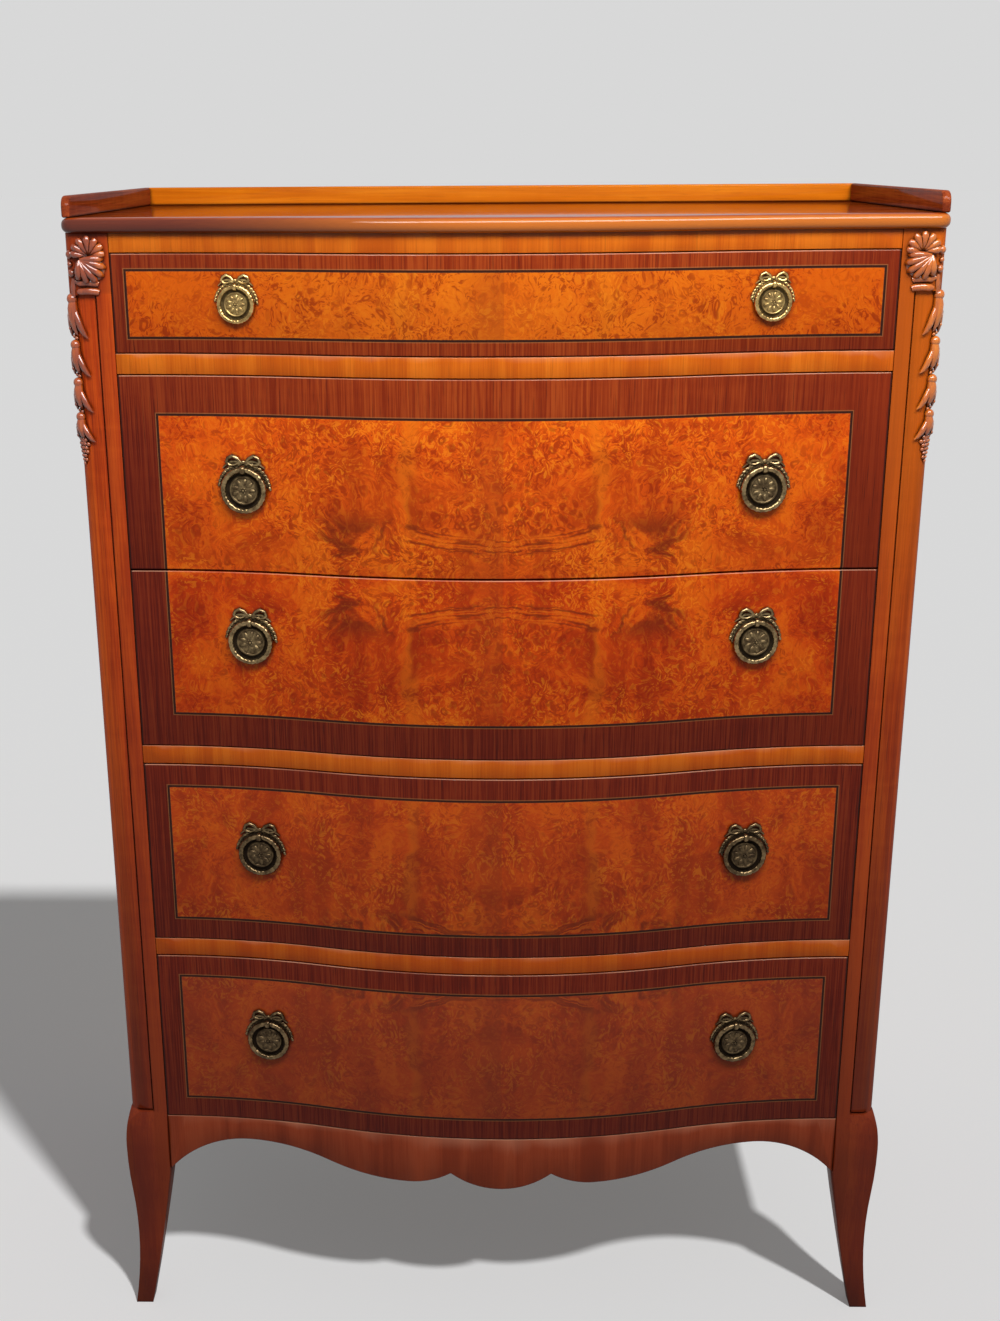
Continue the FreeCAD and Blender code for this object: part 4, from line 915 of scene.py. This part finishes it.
# carved drops at the front corners, in millimetres: s runs round the corner toward the middle, lift is out of the wood;
# ribs are (angle, reach), flute and rib are (share of the reach, lift)
carving = {
    "cornerX": 439.5, "cornerY": -166, "radius": 18, "faceX": 432, "faceY": -187, "fanZ": 1301, "scale": 0.001,
    "sharp": 70, "flutes": 7, "fluteFrom": 168, "fluteTurn": 156, "fluteReach": 16.5, "fluteCrown": 3.5,
    "flute": ((0.15, 1), (0.5, 3.4), (0.85, 4.6), (1, 3)), "fluteRadii": (1.4, 2.9, 4.3, 3.2),
    "leafAt": (-0.5, 0.5, -12.5), "leafSize": (16.5, 5.2, 14.5), "root": (9.5, -2),
    "ribs": ((180, 24.5), (198, 28.5), (216, 30), (234, 29.5), (253, 26.5), (274, 21.5)),
    "rib": ((0.05, 4.4), (0.3, 6), (0.62, 5.8), (0.88, 3.6), (1, 1.2)), "ribRadii": (1.4, 2.8, 4.1, 3.8, 1.6),
    "knobs": ((451.5, 1303.5, 4.6), (452.2, 1293.5, 3), (450.8, 1284.5, 4.2), (446.8, 1275.5, 3.2)), "knobBack": 1.5,
    "stem": ((449.2, 1, 1279), (450.2, 1.2, 1270), (450.6, 3, 1260)), "stemRadii": (2.2, 3.2, 2.2),
    "rolls": (1274.5, 1265.5), "rollSides": 12, "rollRadii": (3.4, 4.2, 4.4, 4.2, 3),
    "roll": ((-9, 0.3, -1), (-6, 0.2, 0), (3, 0.2, 0.6), (10.5, 0.4, 0), (13.8, 0.6, -0.8)),
    "husks": ((1264, 47.5), (1215, 38.5), (1175, 36.5), (1137.5, 31)),
    "clusterTop": 1108.5, "berries": ((3, 2.6), (4, 2.6), (3, 2.5), (3, 2.3), (2, 2.2), (2, 2), (1, 1.9)),
    "berryApart": 4, "berryShift": 1, "berryDrop": 4.3, "berryLift": 1.2,
}
# leaves of a husk as (s, lift, share of the way down), with their radii and the radius of the tip
husk = {
    "usual": 38.5, "least": 0.72, "growth": 0.28, "bulbAt": (0.8, 3, 0.13), "bulb": (5.6, 5.4, 5.6),
    "leaves": ((((0.8, 2, 0.12), (1.2, 3.6, 0.34), (1.6, 3.9, 0.56), (2, 2.8, 0.76), (2.6, 0.8, 0.92)),
                (4, 5.3, 5, 3.4), 0.8),
               (((3.6, 2.6, 0.4), (6.4, 3.4, 0.58), (8.8, 3, 0.76), (11.8, 2.6, 0.9), (15.2, 3.4, 0.99)),
                (2.6, 3.4, 3.2, 2.5), 0.6),
               (((-3.4, 2.2, 0.3), (-5.6, 3, 0.5), (-7.2, 2.6, 0.72), (-9.4, 2, 0.88), (-11.6, 2.4, 0.97)),
                (2.6, 3.3, 3, 2.2), 0.6)),
    "beads": ((-3, 5.2, (0.42, 0.6, 0.78), (1.7, 1.7, 2.2)), (2, 1.4, (0.99,), (2.2, 2.2, 2.2)),
              (-2.5, 1.4, (0.96,), (2, 2, 2))),
}


def onCorner(s, lift, z):
    halfArc = carving["radius"] * math.pi / 4
    reach = carving["radius"] + lift
    if s > halfArc:
        return (carving["cornerX"] - (s - halfArc), carving["cornerY"] - reach, z)
    if s < -halfArc:
        return (carving["cornerX"] + reach, carving["cornerY"] - (s + halfArc), z)
    turn = math.pi / 4 + s / carving["radius"]
    return (carving["cornerX"] + reach * math.cos(turn), carving["cornerY"] - reach * math.sin(turn), z)


def modelHusk(bm, top, length):
    wide = husk["least"] + husk["growth"] * length / husk["usual"]  # wider where the husk is longer
    s, lift, part = husk["bulbAt"]
    addBead(bm, onCorner(s, lift, top - part * length), [size * wide for size in husk["bulb"]], around=12, along=8)
    for path, radii, point in husk["leaves"]:
        growStem(bm, [onCorner(s, lift, top - part * length) for s, lift, part in path],
                 [radius * wide for radius in radii] + [point])
    for s, lift, parts, size in husk["beads"]:
        for part in parts:
            addBead(bm, onCorner(s, lift, top - part * length), size)


def growFan(bm, x, z, rays, profile, radii):
    # stems that spread over the front from one place
    for angle, reach in rays:
        across, up = reach * math.cos(math.radians(angle)), reach * math.sin(math.radians(angle))
        growStem(bm, [(x + across * part, carving["faceY"] - lift, z + up * part) for part, lift in profile], radii)


def modelDrop():
    bm = bmesh.new()
    middle, face, fanZ = carving["faceX"], carving["faceY"], carving["fanZ"]
    # shell: a fan of flutes, highest in the middle
    shares = [index / (carving["flutes"] - 1) for index in range(carving["flutes"])]
    flutes = [(carving["fluteFrom"] - carving["fluteTurn"] * share,
               carving["fluteReach"] + carving["fluteCrown"] * math.sin(math.pi * share)) for share in shares]
    growFan(bm, middle, fanZ, flutes, carving["flute"], carving["fluteRadii"])
    # leaf that curls over below it, ribbed from its outer upper corner
    x, y, z = carving["leafAt"]
    addBead(bm, (middle + x, face + y, fanZ + z), carving["leafSize"], around=20, along=12)
    x, z = carving["root"]
    growFan(bm, middle + x, fanZ + z, carving["ribs"], carving["rib"], carving["ribRadii"])
    # knobs that lead round the corner, with a stem below
    for x, z, size in carving["knobs"]:
        addBead(bm, (x, face + carving["knobBack"], z), (size,) * 3, around=10, along=8)
    growStem(bm, [(x, face + back, z) for x, back, z in carving["stem"]], carving["stemRadii"])
    # two rolls with flared ends
    for z in carving["rolls"]:
        path = [(middle + x, face + back, z + up) for x, back, up in carving["roll"]]
        growStem(bm, path, carving["rollRadii"], carving["rollSides"])
    for top, length in carving["husks"]:
        modelHusk(bm, top, length)
    # cluster of berries below the last husk
    for row, (count, size) in enumerate(carving["berries"]):
        for index in range(count):
            s = (index - (count - 1) / 2) * carving["berryApart"] + carving["berryShift"] * (row % 2)
            z = carving["clusterTop"] - carving["berryDrop"] * row
            addBead(bm, onCorner(s, carving["berryLift"], z), (size,) * 3)
    return bm


for hand, flip in (("right", 1), ("left", -1)):
    bm = modelDrop()
    toScene = Matrix.Diagonal((flip, 1, 1, 1)) @ Matrix.Scale(carving["scale"], 4)
    bmesh.ops.transform(bm, matrix=toScene, verts=bm.verts)
    addPiece(f"carved_drop_{hand}.leaves", bm, "case", carvedWoods[hand], f"carved_drop_{hand}",
             carving["sharp"])
print("drops carved")

# floor, light and camera
studio = {"floorSize": 120.0, "floorColour": 0.8, "floorBounce": 0.14, "floorGlow": 0.135, "pale": 0.687, "fill": 0.13,
          "sunFrom": (0.339, -0.45, 0.826), "sunPower": 2.14, "sunAngle": 3.0,
          "boxAt": (0.24, -1.3, 2.4), "boxAim": (0.0, -0.2, 1.25), "boxPower": 46.0, "boxSize": (2.0, 0.6),
          "fillAt": (-0.5, -2.6, 1.1), "fillAim": (0.0, 0.0, 0.75), "fillPower": 6.5, "fillSize": (2.4, 1.6),
          "rear": {"rear box": ((0.0, 2.6, 0.8), 22.0), "left box": ((-2.6, 0.3, 0.8), 9.0),
                   "right box": ((2.6, 0.3, 0.8), 7.0)}, "rearAim": (0, 0.05, 0.7)}


def seenTint(tree, hidden, seen):
    # one grey for the rays that show a surface (from the camera, a mirror or through glass), one for the rest
    rays = put(tree, "LightPath")
    shown = calc(tree, "MAXIMUM", rays["Is Camera Ray"],
                 calc(tree, "MAXIMUM", rays["Is Glossy Ray"], rays["Is Transmission Ray"]))
    return tint(tree, shown, (hidden, hidden, hidden, 1), (seen, seen, seen, 1))


bm = bmesh.new()
bmesh.ops.create_grid(bm, x_segments=1, y_segments=1, size=studio["floorSize"] / 2)
floor = bpy.data.objects.new("floor", keepMesh("floor", bm))
scene.collection.objects.link(floor)
paper, tree, shader, coords = startMaterial("pale floor")
feed(tree, shader.inputs, {"Base Color": seenTint(tree, studio["floorBounce"], studio["floorColour"]),
                           "Emission Color": seenTint(tree, 0, studio["floorGlow"]), "Emission Strength": 1.0,
                           "Roughness": 1.0, "Specular IOR Level": 0.0})
floor.data.materials.append(paper)

world = bpy.data.worlds.new("studio")
scene.world = world
world.use_nodes = True
tree = world.node_tree
feed(tree, tree.nodes["Background"].inputs, {"Color": seenTint(tree, studio["fill"], studio["pale"])})

onFloor = bpy.data.collections.new("lit floor")
onFloor.objects.link(floor)
offFloor = bpy.data.collections.new("lit chest")
offFloor.objects.link(floor)
offFloor.collection_objects[0].light_linking.link_state = "EXCLUDE"


def addLamp(name, kind, spot, target, power, receivers):
    lamp = bpy.data.lights.new(name, kind)
    lamp.energy = power
    holder = bpy.data.objects.new(name, lamp)
    scene.collection.objects.link(holder)
    aim = Vector(target) - Vector(spot)
    holder.matrix_world = Matrix.Translation(spot) @ aim.to_track_quat("-Z", "Y").to_matrix().to_4x4()
    holder.light_linking.receiver_collection = receivers
    return holder


def addBox(name, spot, target, power, size, glossy=False):
    holder = addLamp(name, "AREA", spot, target, power, offFloor)
    holder.data.shape = "RECTANGLE"
    holder.data.size, holder.data.size_y = size
    holder.visible_glossy = glossy


sun = addLamp("floor sun", "SUN", studio["sunFrom"], (0, 0, 0), studio["sunPower"], onFloor)
sun.data.angle = math.radians(studio["sunAngle"])
addBox("soft box", studio["boxAt"], studio["boxAim"], studio["boxPower"], studio["boxSize"], glossy=True)
addBox("fill box", studio["fillAt"], studio["fillAim"], studio["fillPower"], studio["fillSize"])
# soft light for the back and the ends, from behind the front plane and below the top
for name, (spot, power) in studio["rear"].items():
    addBox(name, spot, studio["rearAim"], power, studio["fillSize"])

view = {"place": (-0.0237, -1.875, 1.3996), "pitch": 17.19898, "yaw": 1.14552, "roll": 0.37917,
        "lens": 43.161, "sensor": 36.0, "shiftX": 0.03735, "shiftY": -0.01128}
lens = bpy.data.cameras.new("camera")
lens.lens = view["lens"]
lens.sensor_width = view["sensor"]
lens.shift_x = view["shiftX"]
lens.shift_y = view["shiftY"]
camera = bpy.data.objects.new("camera", lens)
scene.collection.objects.link(camera)
camera.matrix_world = (Matrix.Translation(view["place"])
                       @ Matrix.Rotation(math.radians(view["yaw"]), 4, "Z")
                       @ Matrix.Rotation(math.radians(90 - view["pitch"]), 4, "X")
                       @ Matrix.Rotation(math.radians(-view["roll"]), 4, "Z"))
scene.camera = camera
print("studio set")
